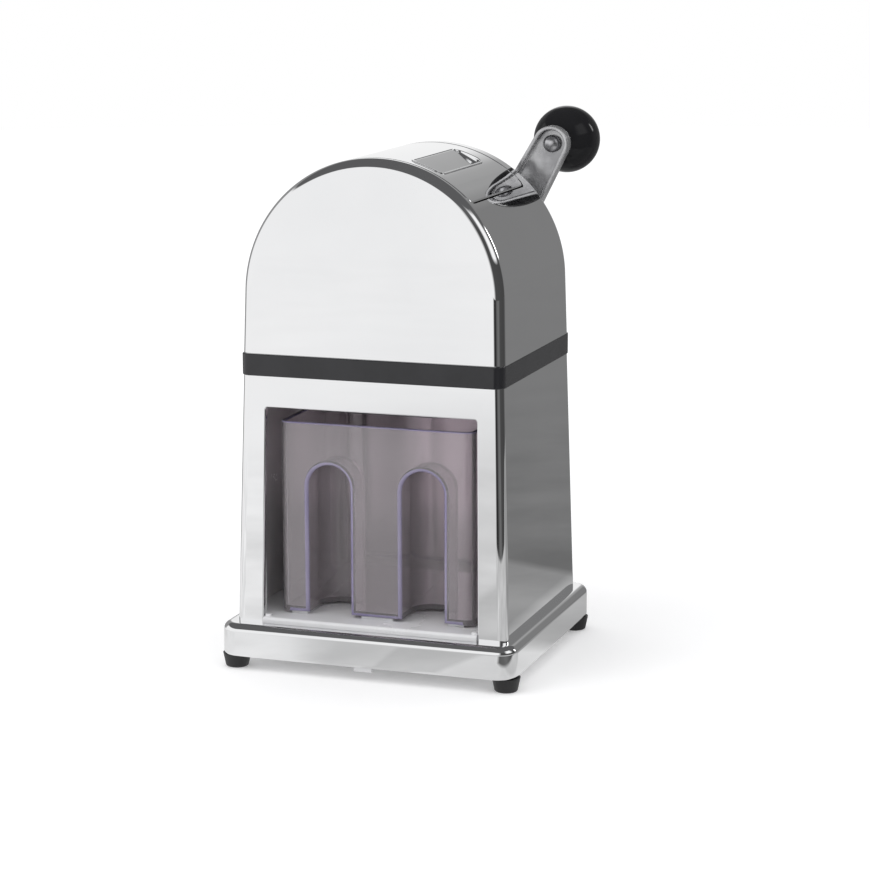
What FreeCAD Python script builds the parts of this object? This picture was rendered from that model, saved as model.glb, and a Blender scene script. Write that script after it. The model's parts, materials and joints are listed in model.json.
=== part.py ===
"""Hand-cranked ice shaver: a plated two-part housing with a black band, a lidded ice chute,
a rotor turned by a crank at the back, and a clear drawer that catches the crushed ice.

Millimetres. +X is the right side, +Y the back and +Z up. The origin lies on the surface that the
feet stand on, in the middle of the outermost box round the object. The sizes below are measured
from the middle of the housing, which PLAN_SHIFT then places in that box.
"""

import FreeCAD, Part
import math
import os
import re

import Sketcher

os.makedirs("parts", exist_ok=True)
doc = FreeCAD.newDocument("ice_shaver")

# ---------------------------------------------------------------- driving sizes

SIZES = {
    # fits shared by several pieces
    "running_fit": 0.05,        # radial clearance of a shaft in its bore
    "slide_gap": 0.3,           # between a moving piece and what it moves over
    "seat_gap": 0.2,            # round a piece that drops into a recess
    # rubber feet
    "foot_height": 6.7,
    "foot_base_radius": 5.4,
    "foot_top_radius": 6.75,
    "foot_inset_x": 5.95,       # from the plinth's sides to the middle of a foot
    "foot_inset_y": 8.9,
    "foot_recess": 2.6,
    "foot_screw_length": 15,
    # plinth and its cover
    "plinth_step_x": 5.85,      # how far it stands out under the lower housing
    "plinth_step_y": 8.6,
    "plinth_height": 15.8,
    "plinth_corner": 9,
    "plinth_top_edge": 3.8,
    "plinth_foot_edge": 1.5,
    "plinth_wall": 3,
    "foot_boss_radius": 5.5,
    "tie_boss_radius": 5.2,
    "cover_thickness": 2,
    "cover_screw_inset": 16.4,
    "lug_x": -1.5,
    "lug_width": 9,
    "lug_drop": 2.6,
    # screws
    "tie_inset_x": 4.7,         # from the top edge of the lower housing
    "tie_inset_y": 6.2,
    "tie_radius": 1.75,
    "tie_bite": 14,
    "pillar_radius": 3.8,
    "small_screw_radius": 1.45,
    "head_height": 1.8,
    # lower housing
    "lower_lean_x": 3.1,        # how far its walls lean out on the way down
    "lower_lean_y": 3.6,
    "lower_height": 118.9,
    "lower_wall": 3,
    "lower_corner": 4.5,
    "frame_foot": 14,           # width of the frame beside the opening
    "frame_top": 12.4,
    "opening_height": 104.1,
    "opening_corner": 1.2,
    # floor of the drawer bay
    "floor_thickness": 3,
    "floor_nose": 1.4,
    "runner_height": 1,
    "runner_width": 8,
    "runner_end": 2,
    "nub_inset": 2,
    "nub_radius": 1.6,
    # drawer
    "drawer_side_gap": 3.8,
    "drawer_front_gap": 9.3,
    "drawer_rear_gap": 10.2,
    "drawer_height": 92.4,
    "drawer_wall": 2.2,
    "drawer_corner": 5,
    "flute_spread": 46.8,
    "flute_radius": 10.6,
    "flute_depth": 24.2,
    "flute_height": 72.2,
    # black band
    "band_width": 130,
    "band_depth": 110.8,
    "band_height": 10.4,
    "band_step_x": 0.3,         # how far it stands out over the lower housing
    "band_step_y": 1.2,
    "band_corner": 5,
    "web_thickness": 3,
    "boss_radius": 11,
    "boss_stand": 0.6,
    "side_pocket_width": 13.5,
    "side_pocket_depth": 80,
    # crushing chamber
    "chamber_width": 58,
    "chamber_front": 43,
    "chamber_rear": 37,
    "chamber_wall": 2.5,
    "chamber_below": 22.6,      # under the shaft's axis
    "chamber_above": 25.4,      # over it
    "flange_reach": 7,
    "flange_thickness": 2.6,
    "bearing_boss_radius": 9,
    "bearing_boss_length": 3.2,
    # ice chute
    "chute_left": 41.5,
    "chute_right": 44,
    "chute_shoulder": 38,       # height of the top of its slopes over the arch's centre
    # bushes
    "bush_radius": 6,
    "bush_flange_radius": 8.6,
    "bush_flange": 1,
    "rear_bush_clear": 1.5,     # from the chamber's flange to the rear bearing
    # rotor
    "journal_radius": 2.75,
    "shaft_radius": 4,
    "shaft_square": 5.6,
    "blade_pitch": 14,
    "blade_thickness": 3,
    "blade_reach": 22.3,
    "blade_root": 8,
    "blade_twist": 18,
    "spacer_radius": 6.5,
    "end_spacer": 2.7,
    "clip_thickness": 1.2,
    "clip_radius": 5,
    # fixed comb
    "comb_thickness": 1.9,
    "comb_below": 10.6,
    "comb_above": 13.4,
    "tooth_thickness": 3,
    "tooth_tip": 8,
    # upper housing
    "side_height": 28.6,
    "side_tilt": 1.4,
    "upper_step": 1.6,          # how far the band stands out before it
    "face_tilt": 2,
    "upper_edge": 5.5,
    "upper_wall": 3,
    "upper_boss_height": 20,
    # lid and its hinge
    "lid_angle": 46,
    "lid_front": 44,
    "lid_rear": 38,
    "lid_thickness": 2.7,
    "lid_gap": 0.7,
    "swing_gap": 1.5,           # between the hinge barrel and the arch, for the lid to open
    "lid_corner": 4,
    "barrel_radius": 2,
    "pin_radius": 0.8,
    "pin_seat": 3,
    "grip_from": 13.5,
    "grip_to": 27.5,
    "grip_front": 38,
    "grip_rear": 24,
    "grip_depth": 1.9,
    "grip_corner": 3,
    "grip_skin": 1.2,
    # crank
    "crank_angle": 28.7,
    "crank_length": 110.2,
    "arm_gap": 0.9,
    "arm_hub_radius": 13,
    "arm_tip_radius": 8.8,
    "arm_rim": 1.8,
    "arm_depth": 5,
    "arm_floor": 2,
    "arm_back_edge": 1,
    "hub_radius": 10,
    "hub_screw_radius": 2,
    "hub_screw_head": 6.2,
    "hub_screw_bite": 12,
    "rivet_ring_radius": 6.6,
    "rivet_ring_height": 4.5,
    "rivet_head_radius": 4.4,
    "rivet_head_height": 2,
    "rivet_radius": 2.5,
    # knob
    "washer_thickness": 1,
    "washer_radius": 5.5,
    "knob_radius": 16.6,
    "knob_neck_radius": 7.2,
    "knob_reach": 21.3,         # from its front face to the middle of the ball
    "spindle_radius": 3.2,
    "spindle_head_radius": 5.2,
    "spindle_head": 3,
    "knob_recess": 6.7,
}
BLADE_COUNT = 5
PRONGS = 4

sheet = doc.addObject("Spreadsheet::Sheet", "Sizes")
for row, (name, value) in enumerate(SIZES.items(), start=1):
    sheet.set(f"A{row}", str(value))
    sheet.setAlias(f"A{row}", name)
doc.recompute()

# ------------------------------------------- places worked out from the sizes

# plan sizes, which all follow the band's. A later one may use an earlier one.
PLAN_SIZES = {
    "lower_width": "band_width - 2*band_step_x",
    "lower_depth": "band_depth - 2*band_step_y",
    "skirt_width": "lower_width + 2*lower_lean_x",
    "skirt_depth": "lower_depth + 2*lower_lean_y",
    "plinth_width": "skirt_width + 2*plinth_step_x",
    "plinth_depth": "skirt_depth + 2*plinth_step_y",
    "foot_x": "plinth_width/2 - foot_inset_x",
    "foot_y": "plinth_depth/2 - foot_inset_y",
    "cover_screw_y": "plinth_depth/2 - cover_screw_inset",
    "tie_x": "lower_width/2 - tie_inset_x",
    "tie_y": "lower_depth/2 - tie_inset_y",
    "opening_foot_width": "skirt_width - 2*frame_foot",
    "opening_top_width": "lower_width - 2*frame_top",
    "drawer_width": "opening_top_width - 2*drawer_side_gap",
    "drawer_front": "skirt_depth/2 - drawer_front_gap",
    "drawer_rear": "lower_depth/2 - drawer_rear_gap",
    "flute_x": "flute_spread/2",
    "upper_depth": "band_depth - 2*upper_step",
    "arch_radius": "band_width/2*cos(side_tilt) - side_height*sin(side_tilt)",
}

# heights
PLINTH_TOP = "(foot_height + plinth_height)"
COVER_TOP = "(foot_height + slide_gap + cover_thickness)"
FLOOR_TOP = f"({PLINTH_TOP} + floor_thickness)"
DRAWER_BOTTOM = f"({FLOOR_TOP} + runner_height + slide_gap)"
BAND_BOTTOM = f"({PLINTH_TOP} + lower_height)"
BAND_TOP = f"({BAND_BOTTOM} + band_height)"
WEB_TOP = f"({BAND_BOTTOM} + web_thickness)"
SHAFT_Z = f"({BAND_BOTTOM} + band_height/2)"
CHAMBER_BOTTOM = f"({SHAFT_Z} - chamber_below)"
CHAMBER_TOP = f"({SHAFT_Z} + chamber_above)"
ARCH_Z = f"({BAND_TOP} + side_height)"
ARCH_TOP = f"({ARCH_Z} + arch_radius)"

# places along the shaft, from the middle of the housing
CHAMBER_MIDDLE = "((chamber_rear - chamber_front)/2)"
BEARING_BOSS_END = "(chamber_wall + bearing_boss_length - chamber_front)"
STACK_FRONT = (
    f"({CHAMBER_MIDDLE} - {(BLADE_COUNT - 1) / 2}*blade_pitch"
    " - blade_thickness/2 - end_spacer)"
)
STACK_REAR = (
    f"({CHAMBER_MIDDLE} + {(BLADE_COUNT - 1) / 2}*blade_pitch"
    " + blade_thickness/2 + end_spacer)"
)
BOSS_END = "(band_depth/2 + boss_stand)"
REAR_BUSH_START = "(chamber_rear + flange_reach + rear_bush_clear)"
BUSH_END = f"({BOSS_END} + bush_flange)"
HUB_FRONT = f"({BUSH_END} + slide_gap)"
ARM_FRONT = "(skirt_depth/2 + arm_gap)"
ARM_FLOOR = f"({ARM_FRONT} + arm_depth)"
ARM_BACK = f"({ARM_FLOOR} + arm_floor)"
KNOB_FRONT = f"({ARM_BACK} + washer_thickness + slide_gap)"
BALL_Y = f"({KNOB_FRONT} + knob_reach)"
RECESS_FLOOR = f"({BALL_Y} + knob_radius - knob_recess)"
PLAN_SHIFT = f"((plinth_depth/2 - {BALL_Y} - knob_radius)/2)"

# lid hinge, at the left end of the lid
HINGE_RADIUS = "(arch_radius - barrel_radius)"
HINGE_X = f"(-{HINGE_RADIUS}*sin(lid_angle))"
HINGE_Z = f"({ARCH_Z} + {HINGE_RADIUS}*cos(lid_angle))"
LID_X = "(arch_radius*sin(lid_angle))"
LID_LENGTH = "(lid_front + lid_rear)"

# ------------------------------------------------------------- modelling helpers

PLANES = {"x": "YZ_Plane", "y": "XZ_Plane", "z": "XY_Plane"}
FUNCTIONS = r"\b(?!sin\b|cos\b|tan\b|sqrt\b)([a-z]\w*)"


def in_sizes(text):
    """The expression with each plan size written out."""
    for name in reversed(PLAN_SIZES):
        text = re.sub(rf"\b{name}\b", f"({PLAN_SIZES[name]})", text)
    return text


def bound(text):
    """The expression with each size read from the sheet."""
    return re.sub(FUNCTIONS, r"Sizes.\1", in_sizes(text))


def number(text):
    """The expression's present value."""
    return float(sheet.evalExpression(in_sizes(text)))


def body(label, x="0", y="0", z="0", turn=None):
    """A new body whose own origin is at x, y, z, turned about +Y by the angle `turn`."""
    new = doc.addObject("PartDesign::Body", label)
    new.AllowCompound = True
    if turn:
        new.Placement = FreeCAD.Placement(
            FreeCAD.Vector(), FreeCAD.Rotation(FreeCAD.Vector(0, 1, 0), number(turn))
        )
        new.setExpression("Placement.Rotation.Angle", bound(turn))
    for letter, place in (("x", x), ("y", f"{y} + {PLAN_SHIFT}"), ("z", z)):
        new.setExpression(f"Placement.Base.{letter}", bound(place))
    return new


def sketch(owner, axis, at):
    """A sketch across `axis` at the place `at`. Its x, y are Y, Z or X, Z or X, Y."""
    origin = owner.Origin.OriginFeatures
    plane = next(item for item in origin if item.Role == PLANES[axis])
    new = owner.newObject("Sketcher::SketchObject", f"{owner.Name}_sketch")
    new.AttachmentSupport = (plane, [""])
    new.MapMode = "FlatFace"
    side = "-" if axis == "y" else ""
    new.setExpression("AttachmentOffset.Base.z", bound(f"{side}({at})"))
    return new


def fix_point(drawing, geometry, end, x, y):
    """Holds one point of the sketch at x, y."""
    for kind, place in (("DistanceX", x), ("DistanceY", y)):
        rule = Sketcher.Constraint(kind, -1, 1, geometry, end, number(place))
        index = drawing.addConstraint(rule)
        drawing.setExpression(f"Constraints[{index}]", bound(place))


def fix_radius(drawing, geometry, radius):
    """Holds the radius of a circle or arc of the sketch."""
    index = drawing.addConstraint(Sketcher.Constraint("Radius", geometry, number(radius)))
    drawing.setExpression(f"Constraints[{index}]", bound(radius))


def circle(x, y, radius):
    """Draws a circle."""

    def draw(drawing):
        centre = FreeCAD.Vector(number(x), number(y), 0)
        ring = Part.Circle(centre, FreeCAD.Vector(0, 0, 1), number(radius))
        index = drawing.addGeometry(ring)
        fix_point(drawing, index, 3, x, y)
        fix_radius(drawing, index, radius)

    return draw


def polygon(*points):
    """Draws a closed outline of straight lines."""

    def draw(drawing):
        corners = [FreeCAD.Vector(number(x), number(y), 0) for x, y in points]
        first = drawing.GeometryCount
        ends = zip(corners, corners[1:] + corners[:1])
        drawing.addGeometry([Part.LineSegment(start, end) for start, end in ends])
        for index, (x, y) in enumerate(points):
            following = first + (index + 1) % len(points)
            rule = Sketcher.Constraint("Coincident", first + index, 2, following, 1)
            drawing.addConstraint(rule)
            fix_point(drawing, first + index, 1, x, y)

    return draw


def rectangle(left, right, bottom, top):
    """Draws a rectangle between four places."""
    return polygon((left, bottom), (right, bottom), (right, top), (left, top))


def rounded(left, right, bottom, top, radius):
    """Draws a rectangle between four places, with rounded corners."""
    near_left, near_right = f"{left} + {radius}", f"{right} - {radius}"
    near_bottom, near_top = f"{bottom} + {radius}", f"{top} - {radius}"
    lines = [
        ((near_left, bottom), (near_right, bottom)),
        ((right, near_bottom), (right, near_top)),
        ((near_right, top), (near_left, top)),
        ((left, near_top), (left, near_bottom)),
    ]
    centres = [(near_right, near_bottom), (near_right, near_top),
               (near_left, near_top), (near_left, near_bottom)]

    def draw(drawing):
        first = drawing.GeometryCount
        for start, end in lines:
            ends = [FreeCAD.Vector(number(x), number(y), 0) for x, y in (start, end)]
            index = drawing.addGeometry(Part.LineSegment(*ends))
            fix_point(drawing, index, 1, *start)
            fix_point(drawing, index, 2, *end)
        for k, (x, y) in enumerate(centres):
            centre = FreeCAD.Vector(number(x), number(y), 0)
            ring = Part.Circle(centre, FreeCAD.Vector(0, 0, 1), number(radius))
            start = math.radians(90 * (k - 1))
            index = drawing.addGeometry(Part.ArcOfCircle(ring, start, start + math.radians(90)))
            following = first + (k + 1) % 4
            drawing.addConstraint(Sketcher.Constraint("Coincident", index, 1, first + k, 2))
            drawing.addConstraint(Sketcher.Constraint("Coincident", index, 2, following, 1))
            fix_radius(drawing, index, radius)

    return draw


def centred(width, depth, radius=None):
    """Draws a rectangle round the sketch's origin, with rounded corners if asked."""
    ends = f"-({width})/2", f"({width})/2", f"-({depth})/2", f"({depth})/2"
    return rounded(*ends, radius) if radius else rectangle(*ends)


def feature(kind, owner):
    return owner.newObject(f"PartDesign::{kind}", f"{owner.Name}_{kind.lower()}")


def settle(owner, grows):
    """Recomputes, and stops if the last feature didn't add or take material as meant."""
    before = settle.volumes.get(owner.Name, 0)
    doc.recompute()
    after = owner.Shape.Volume
    failed = "Invalid" in owner.Tip.State
    if failed or (after <= before if grows else after >= before):
        raise RuntimeError(f"{owner.Name}: {owner.Tip.Name} made no change: {before} {after}")
    settle.volumes[owner.Name] = after


settle.volumes = {}


def extrude(kind, owner, axis, start, length, drawings):
    drawing = sketch(owner, axis, start)
    for draw in drawings:
        draw(drawing)
    new = feature(kind, owner)
    new.Profile = (drawing, [""])
    new.setExpression("Length", bound(length))
    new.Reversed = (axis == "y") == (kind == "Pad")
    settle(owner, kind == "Pad")
    return new


def pad(owner, axis, start, length, *drawings):
    """Adds the drawings, from `start` along +axis over `length`."""
    return extrude("Pad", owner, axis, start, length, drawings)


def cut(owner, axis, start, length, *drawings):
    """Takes the drawings away, from `start` along +axis over `length`."""
    return extrude("Pocket", owner, axis, start, length, drawings)


def revolve(owner, axis, *points):
    """Turns an outline about the body's own axis. Points are (radius, z) or (y, radius)."""
    drawing = sketch(owner, {"z": "y", "y": "x"}[axis], "0")
    polygon(*points)(drawing)
    new = feature("Revolution", owner)
    new.Profile = (drawing, [""])
    new.ReferenceAxis = (drawing, ["V_Axis" if axis == "z" else "H_Axis"])
    new.Angle = 360
    settle(owner, True)
    return new


def drafted_block(owner, bottom, top, foot_size, top_size):
    """A block with sloping sides. The sizes are (width, depth) at its foot and its top."""
    (foot_width, foot_depth), (top_width, top_depth) = foot_size, top_size
    pad(owner, "y", f"-{foot_depth}/2", foot_depth,
        polygon((f"-{foot_width}/2", bottom), (f"{foot_width}/2", bottom),
                (f"{top_width}/2", top), (f"-{top_width}/2", top)))
    cut(owner, "x", f"-{foot_width}", f"2*{foot_width}",
        *[polygon((f"{side}{foot_depth}/2", bottom), (f"{side}({foot_depth}/2 + 1)", bottom),
                  (f"{side}({foot_depth}/2 + 1)", top), (f"{side}{top_depth}/2", top))
          for side in "-+"])


def ball(kind, owner, radius, x, y, z):
    """Adds or takes away a sphere."""
    new = feature(f"{kind}Sphere", owner)
    new.setExpression("Radius", bound(radius))
    for letter, place in (("x", x), ("y", y), ("z", z)):
        new.setExpression(f"Placement.Base.{letter}", bound(place))
    settle(owner, kind == "Additive")
    return new


def round_edges(owner, radius, wanted):
    """Rounds the edges of the body's last feature that `wanted` picks."""
    base = owner.Tip
    names = [f"Edge{i}" for i, edge in enumerate(base.Shape.Edges, 1) if wanted(edge)]
    if not names:
        raise RuntimeError(f"{owner.Name}: no edge to round")
    new = feature("Fillet", owner)
    new.Base = (base, names)
    new.setExpression("Radius", bound(radius))
    doc.recompute()
    if "Invalid" in new.State:
        raise RuntimeError(f"{owner.Name}: {new.Name} failed")
    settle.volumes[owner.Name] = owner.Shape.Volume
    return new


def hollow(owner, wall, wanted):
    """Leaves a wall inside the body's faces, open at the faces that `wanted` picks."""
    base = owner.Tip
    names = [f"Face{i}" for i, face in enumerate(base.Shape.Faces, 1) if wanted(face)]
    new = feature("Thickness", owner)
    new.Base = (base, names)
    new.setExpression("Value", bound(wall))
    new.Reversed = True
    new.Join = "Intersection"
    settle(owner, False)
    return new


def near(value, text):
    """Whether a length is that of the expression."""
    return abs(value - number(text)) < 0.01


def is_upright(edge):
    """Whether the edge runs mostly up and down."""
    box = edge.BoundBox
    return box.ZLength > 3 * max(box.XLength, box.YLength)


def is_level(item):
    """Whether the edge or face lies at one height."""
    return item.BoundBox.ZLength < 0.01


def reaches_past(edge, x, y):
    """Whether any of the edge lies further out than x or y."""
    box = edge.BoundBox
    return (max(-box.XMin, box.XMax) > number(x) + 0.01
            or max(-box.YMin, box.YMax) > number(y) + 0.01)


def four_corners(x, y):
    """The four places at plus and minus x and y."""
    return [(f"{i}({x})", f"{j}({y})") for i in "-+" for j in "-+"]


def polar(radius, angle):
    """The place on the arch at `radius` and at `angle` to the right of its top."""
    return f"({radius})*sin({angle})", f"{ARCH_Z} + ({radius})*cos({angle})"


# ------------------------------------------------------------------------- stand


def make_feet():
    """Four rubber feet, each with a recess for the head of its screw."""
    for depth_name, depth_side in (("front", "-"), ("rear", "+")):
        for side_name, side in (("left", "-"), ("right", "+")):
            foot = body(f"foot_{depth_name}_{side_name}", f"{side}foot_x", f"{depth_side}foot_y")
            hole = "tie_radius + running_fit"
            revolve(
                foot, "z",
                (hole, "foot_recess"), ("2*tie_radius + seat_gap", "foot_recess"),
                ("2*tie_radius + seat_gap", "0"), ("foot_base_radius", "0"),
                ("foot_top_radius", "foot_height"), (hole, "foot_height"),
            )


def make_foot_screws():
    screws = body("foot_screws")
    places = four_corners("foot_x", "foot_y")
    pad(screws, "z", "foot_recess", "foot_screw_length",
        *[circle(x, y, "tie_radius") for x, y in places])
    pad(screws, "z", "foot_recess - head_height", "head_height",
        *[circle(x, y, "2*tie_radius") for x, y in places])


def make_plinth():
    """The base moulding: a rounded slab, hollow from below, with bosses for feet and screws."""
    plinth = body("plinth")
    pad(plinth, "z", "foot_height", "plinth_height",
        centred("plinth_width", "plinth_depth", "plinth_corner"))
    inner_x, inner_y = "(plinth_width/2 - plinth_wall)", "(plinth_depth/2 - plinth_wall)"
    cut(plinth, "z", "foot_height", "plinth_height - plinth_wall",
        centred(f"2*{inner_x}", f"2*{inner_y}", "(plinth_corner - plinth_wall)"))
    for radius, height in (("plinth_top_edge", PLINTH_TOP), ("plinth_foot_edge", "foot_height")):
        round_edges(plinth, radius,
                    lambda edge: is_level(edge) and near(edge.BoundBox.ZMin, height)
                    and reaches_past(edge, inner_x, inner_y))
    pad(plinth, "z", "foot_height", "plinth_height - plinth_wall",
        *[circle(x, y, "foot_boss_radius") for x, y in four_corners("foot_x", "foot_y")])
    above_cover = f"{PLINTH_TOP} - plinth_wall - {COVER_TOP}"
    tie_places = four_corners("tie_x", "tie_y")
    cover_places = [("0", "-cover_screw_y"), ("0", "cover_screw_y")]
    pad(plinth, "z", COVER_TOP, above_cover,
        *[circle(x, y, "tie_boss_radius") for x, y in tie_places],
        *[circle(x, y, "2*small_screw_radius + seat_gap") for x, y in cover_places])
    cut(plinth, "z", COVER_TOP, "plinth_height",
        *[circle(x, y, "tie_radius + running_fit") for x, y in tie_places])
    cut(plinth, "z", "foot_height", f"foot_recess + foot_screw_length + seat_gap - foot_height",
        *[circle(x, y, "tie_radius + running_fit") for x, y in four_corners("foot_x", "foot_y")])
    cut(plinth, "z", COVER_TOP, f"{above_cover} - seat_gap",
        *[circle(x, y, "small_screw_radius + running_fit") for x, y in cover_places])


def make_base_cover():
    """The plate that closes the plinth from below, with a finger lug at its front."""
    cover = body("base_cover")
    bottom = f"{COVER_TOP} - cover_thickness"
    inset = "2*(plinth_wall + slide_gap)"
    pad(cover, "z", bottom, "cover_thickness",
        centred(f"plinth_width - {inset}", f"plinth_depth - {inset}",
                "(plinth_corner - plinth_wall)"))
    front = "plinth_wall + slide_gap - plinth_depth/2"
    pad(cover, "z", f"foot_height - lug_drop", f"lug_drop + cover_thickness",
        rectangle("lug_x - lug_width/2", "lug_x + lug_width/2", front, f"{front} + cover_thickness"))
    cut(cover, "z", bottom, "cover_thickness",
        *[circle(x, y, "foot_boss_radius + 1.5") for x, y in four_corners("foot_x", "foot_y")],
        *[circle(x, y, "2*tie_radius + 3*seat_gap") for x, y in four_corners("tie_x", "tie_y")],
        *[circle("0", y, "small_screw_radius + running_fit")
          for y in ("-cover_screw_y", "cover_screw_y")])


def make_cover_screws():
    screws = body("cover_screws")
    places = ("-cover_screw_y", "cover_screw_y")
    underside = f"({COVER_TOP} - cover_thickness)"
    pad(screws, "z", underside, "cover_thickness + 3*head_height",
        *[circle("0", y, "small_screw_radius") for y in places])
    pad(screws, "z", f"{underside} - head_height", "head_height",
        *[circle("0", y, "2*small_screw_radius") for y in places])


def make_housing_screws():
    """Four long screws that clamp plinth, floor, lower housing, band and upper housing."""
    screws = body("housing_screws")
    places = four_corners("tie_x", "tie_y")
    pad(screws, "z", COVER_TOP, f"{BAND_TOP} + tie_bite - {COVER_TOP}",
        *[circle(x, y, "tie_radius") for x, y in places])
    pad(screws, "z", f"{COVER_TOP} - head_height", "head_height",
        *[circle(x, y, "2*tie_radius") for x, y in places])


# ------------------------------------------------------------------ lower housing


def make_lower_housing():
    """The plated lower shell: four drafted walls with a flared skirt and an open front."""
    housing = body("lower_housing")
    drafted_block(housing, PLINTH_TOP, BAND_BOTTOM,
                  ("skirt_width", "skirt_depth"), ("lower_width", "lower_depth"))
    round_edges(housing, "lower_corner", is_upright)
    hollow(housing, "lower_wall", is_level)
    opening_top = f"{PLINTH_TOP} + opening_height"
    cut(housing, "y", "-skirt_depth/2 - 1", "lower_wall + skirt_depth/2 - lower_depth/2 + 2",
        polygon(("-opening_foot_width/2", PLINTH_TOP), ("opening_foot_width/2", PLINTH_TOP),
                ("opening_top_width/2", opening_top), ("-opening_top_width/2", opening_top)))
    round_edges(housing, "opening_corner",
                lambda edge: edge.BoundBox.YLength < 2 * number("lower_wall")
                and edge.BoundBox.YLength > number("lower_wall") / 2
                and edge.BoundBox.XLength < 0.01 and near(edge.BoundBox.ZMax, opening_top)
                and edge.BoundBox.YMax < 0)
    pad(housing, "z", FLOOR_TOP, f"{BAND_BOTTOM} - {FLOOR_TOP}",
        *[circle(x, y, "pillar_radius") for x, y in four_corners("tie_x", "tie_y")])
    cut(housing, "z", FLOOR_TOP, f"{BAND_BOTTOM} - {FLOOR_TOP}",
        *[circle(x, y, "tie_radius + running_fit") for x, y in four_corners("tie_x", "tie_y")])
    cut(housing, "y", "lower_depth/2 - lower_wall - 1", "lower_wall + 3",
        circle("0", SHAFT_Z, "boss_radius + seat_gap"))


def make_floor_plate():
    """The pale floor of the drawer bay, with runners and two nubs beside the drawer's mouth."""
    floor = body("floor_plate")
    inset = "2*(lower_wall + seat_gap)"
    pad(floor, "z", PLINTH_TOP, "floor_thickness",
        centred(f"skirt_width - {inset}", f"skirt_depth - {inset}",
                "(lower_corner - lower_wall + seat_gap)"))
    front = "-(skirt_depth/2 + floor_nose)"
    edge_x = "(opening_foot_width/2 - seat_gap)"
    pad(floor, "z", PLINTH_TOP, "floor_thickness",
        rectangle(f"-{edge_x}", edge_x, front, "lower_wall - skirt_depth/2 + 1"))
    round_edges(floor, "floor_nose",
                lambda edge: is_level(edge) and edge.BoundBox.YLength < 0.01
                and near(edge.BoundBox.YMin, front) and near(edge.BoundBox.ZMin, FLOOR_TOP))
    side_runner = "drawer_width/2 - drawer_corner - runner_width"
    ends = "runner_end - drawer_front", "drawer_rear - runner_end"
    pad(floor, "z", FLOOR_TOP, "runner_height",
        rectangle(f"-({side_runner} + runner_width)", f"-({side_runner})", *ends),
        rectangle("-runner_width", "runner_width", *ends),
        rectangle(side_runner, f"{side_runner} + runner_width", *ends))
    nub_x = "(opening_foot_width/2 - nub_inset)"
    pad(floor, "z", FLOOR_TOP, "runner_height",
        *[circle(f"{side}{nub_x}", "nub_inset - skirt_depth/2", "nub_radius") for side in "-+"])
    cut(floor, "z", PLINTH_TOP, "floor_thickness",
        *[circle(x, y, "tie_radius + running_fit") for x, y in four_corners("tie_x", "tie_y")])


# ------------------------------------------------------------------------ drawer


def flute(drawer, add, radius):
    """One pass over both finger flutes: an upright U with a domed top, added or taken away."""
    change = pad if add else cut
    kind = "Additive" if add else "Subtractive"
    bottom = DRAWER_BOTTOM
    middle = "(flute_depth - flute_radius - drawer_front)"
    spring = f"({bottom} + flute_height - flute_radius)"
    back = f"drawer_front + {middle}"
    for side in "-+":
        x = f"{side}flute_x"
        ball(kind, drawer, radius, x, middle, spring)
        change(drawer, "y", "-drawer_front", back, circle(x, spring, radius))
        change(drawer, "z", bottom, f"{spring} - {bottom}", circle(x, middle, radius))
        change(drawer, "z", bottom, f"{spring} - {bottom}",
               rectangle(f"{x} - ({radius})", f"{x} + ({radius})", "-drawer_front", middle))


def make_drawer():
    """The clear drawer, with two finger flutes pressed into its front."""
    drawer = body("ice_drawer")
    half = "drawer_width/2"
    pad(drawer, "z", DRAWER_BOTTOM, "drawer_height",
        rounded(f"-{half}", half, "-drawer_front", "drawer_rear", "drawer_corner"))
    inner = f"({half} - drawer_wall)"
    cut(drawer, "z", f"{DRAWER_BOTTOM} + drawer_wall", "drawer_height",
        rounded(f"-{inner}", inner, "drawer_wall - drawer_front", "drawer_rear - drawer_wall",
                "(drawer_corner - drawer_wall)"))
    flute(drawer, True, "flute_radius + drawer_wall")
    flute(drawer, False, "flute_radius")


# -------------------------------------------------------------------------- band


def make_band():
    """The black chassis between the housings. Its rim is the band, and it carries the works."""
    band = body("middle_band")
    pad(band, "z", BAND_BOTTOM, "band_height",
        centred("band_width", "band_depth", "band_corner"))
    pad(band, "y", f"chamber_rear + flange_reach + seat_gap",
        f"{BOSS_END} - chamber_rear - flange_reach - seat_gap", circle("0", SHAFT_Z, "boss_radius"))
    wide = "(chamber_width/2 + {0})"
    fit, seat = wide.format("2*seat_gap"), wide.format("flange_reach + seat_gap")
    cut(band, "z", BAND_BOTTOM, "band_height",
        rectangle(f"-{fit}", fit, "-chamber_front - 2*seat_gap", "chamber_rear + 2*seat_gap"))
    cut(band, "z", WEB_TOP, "band_height",
        rectangle(f"-{seat}", seat, "-chamber_front - flange_reach - seat_gap",
                  "chamber_rear + flange_reach + seat_gap"))
    pocket = f"{seat} + lower_wall"
    cut(band, "z", WEB_TOP, "band_height",
        *[rectangle(left, right, "-side_pocket_depth/2", "side_pocket_depth/2")
          for left, right in ((f"-({pocket} + side_pocket_width)", f"-({pocket})"),
                              (pocket, f"{pocket} + side_pocket_width"))])
    slot = "(shaft_radius + 3*seat_gap)"
    cut(band, "z", BAND_BOTTOM, "band_height",
        rectangle(f"-{slot}", slot, "chamber_rear", "chamber_rear + flange_reach + 2*seat_gap"))
    cut(band, "y", "chamber_rear", "band_depth", circle("0", SHAFT_Z, "shaft_radius + 3*seat_gap"))
    cut(band, "y", REAR_BUSH_START, f"{BOSS_END} - {REAR_BUSH_START}",
        circle("0", SHAFT_Z, "bush_radius + running_fit"))
    cut(band, "z", BAND_BOTTOM, "band_height",
        *[circle(x, y, "tie_radius + running_fit") for x, y in four_corners("tie_x", "tie_y")])
    cut(band, "z", BAND_BOTTOM, "web_thickness",
        *[circle(x, y, "small_screw_radius + running_fit") for x, y in chamber_screw_places()])


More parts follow.
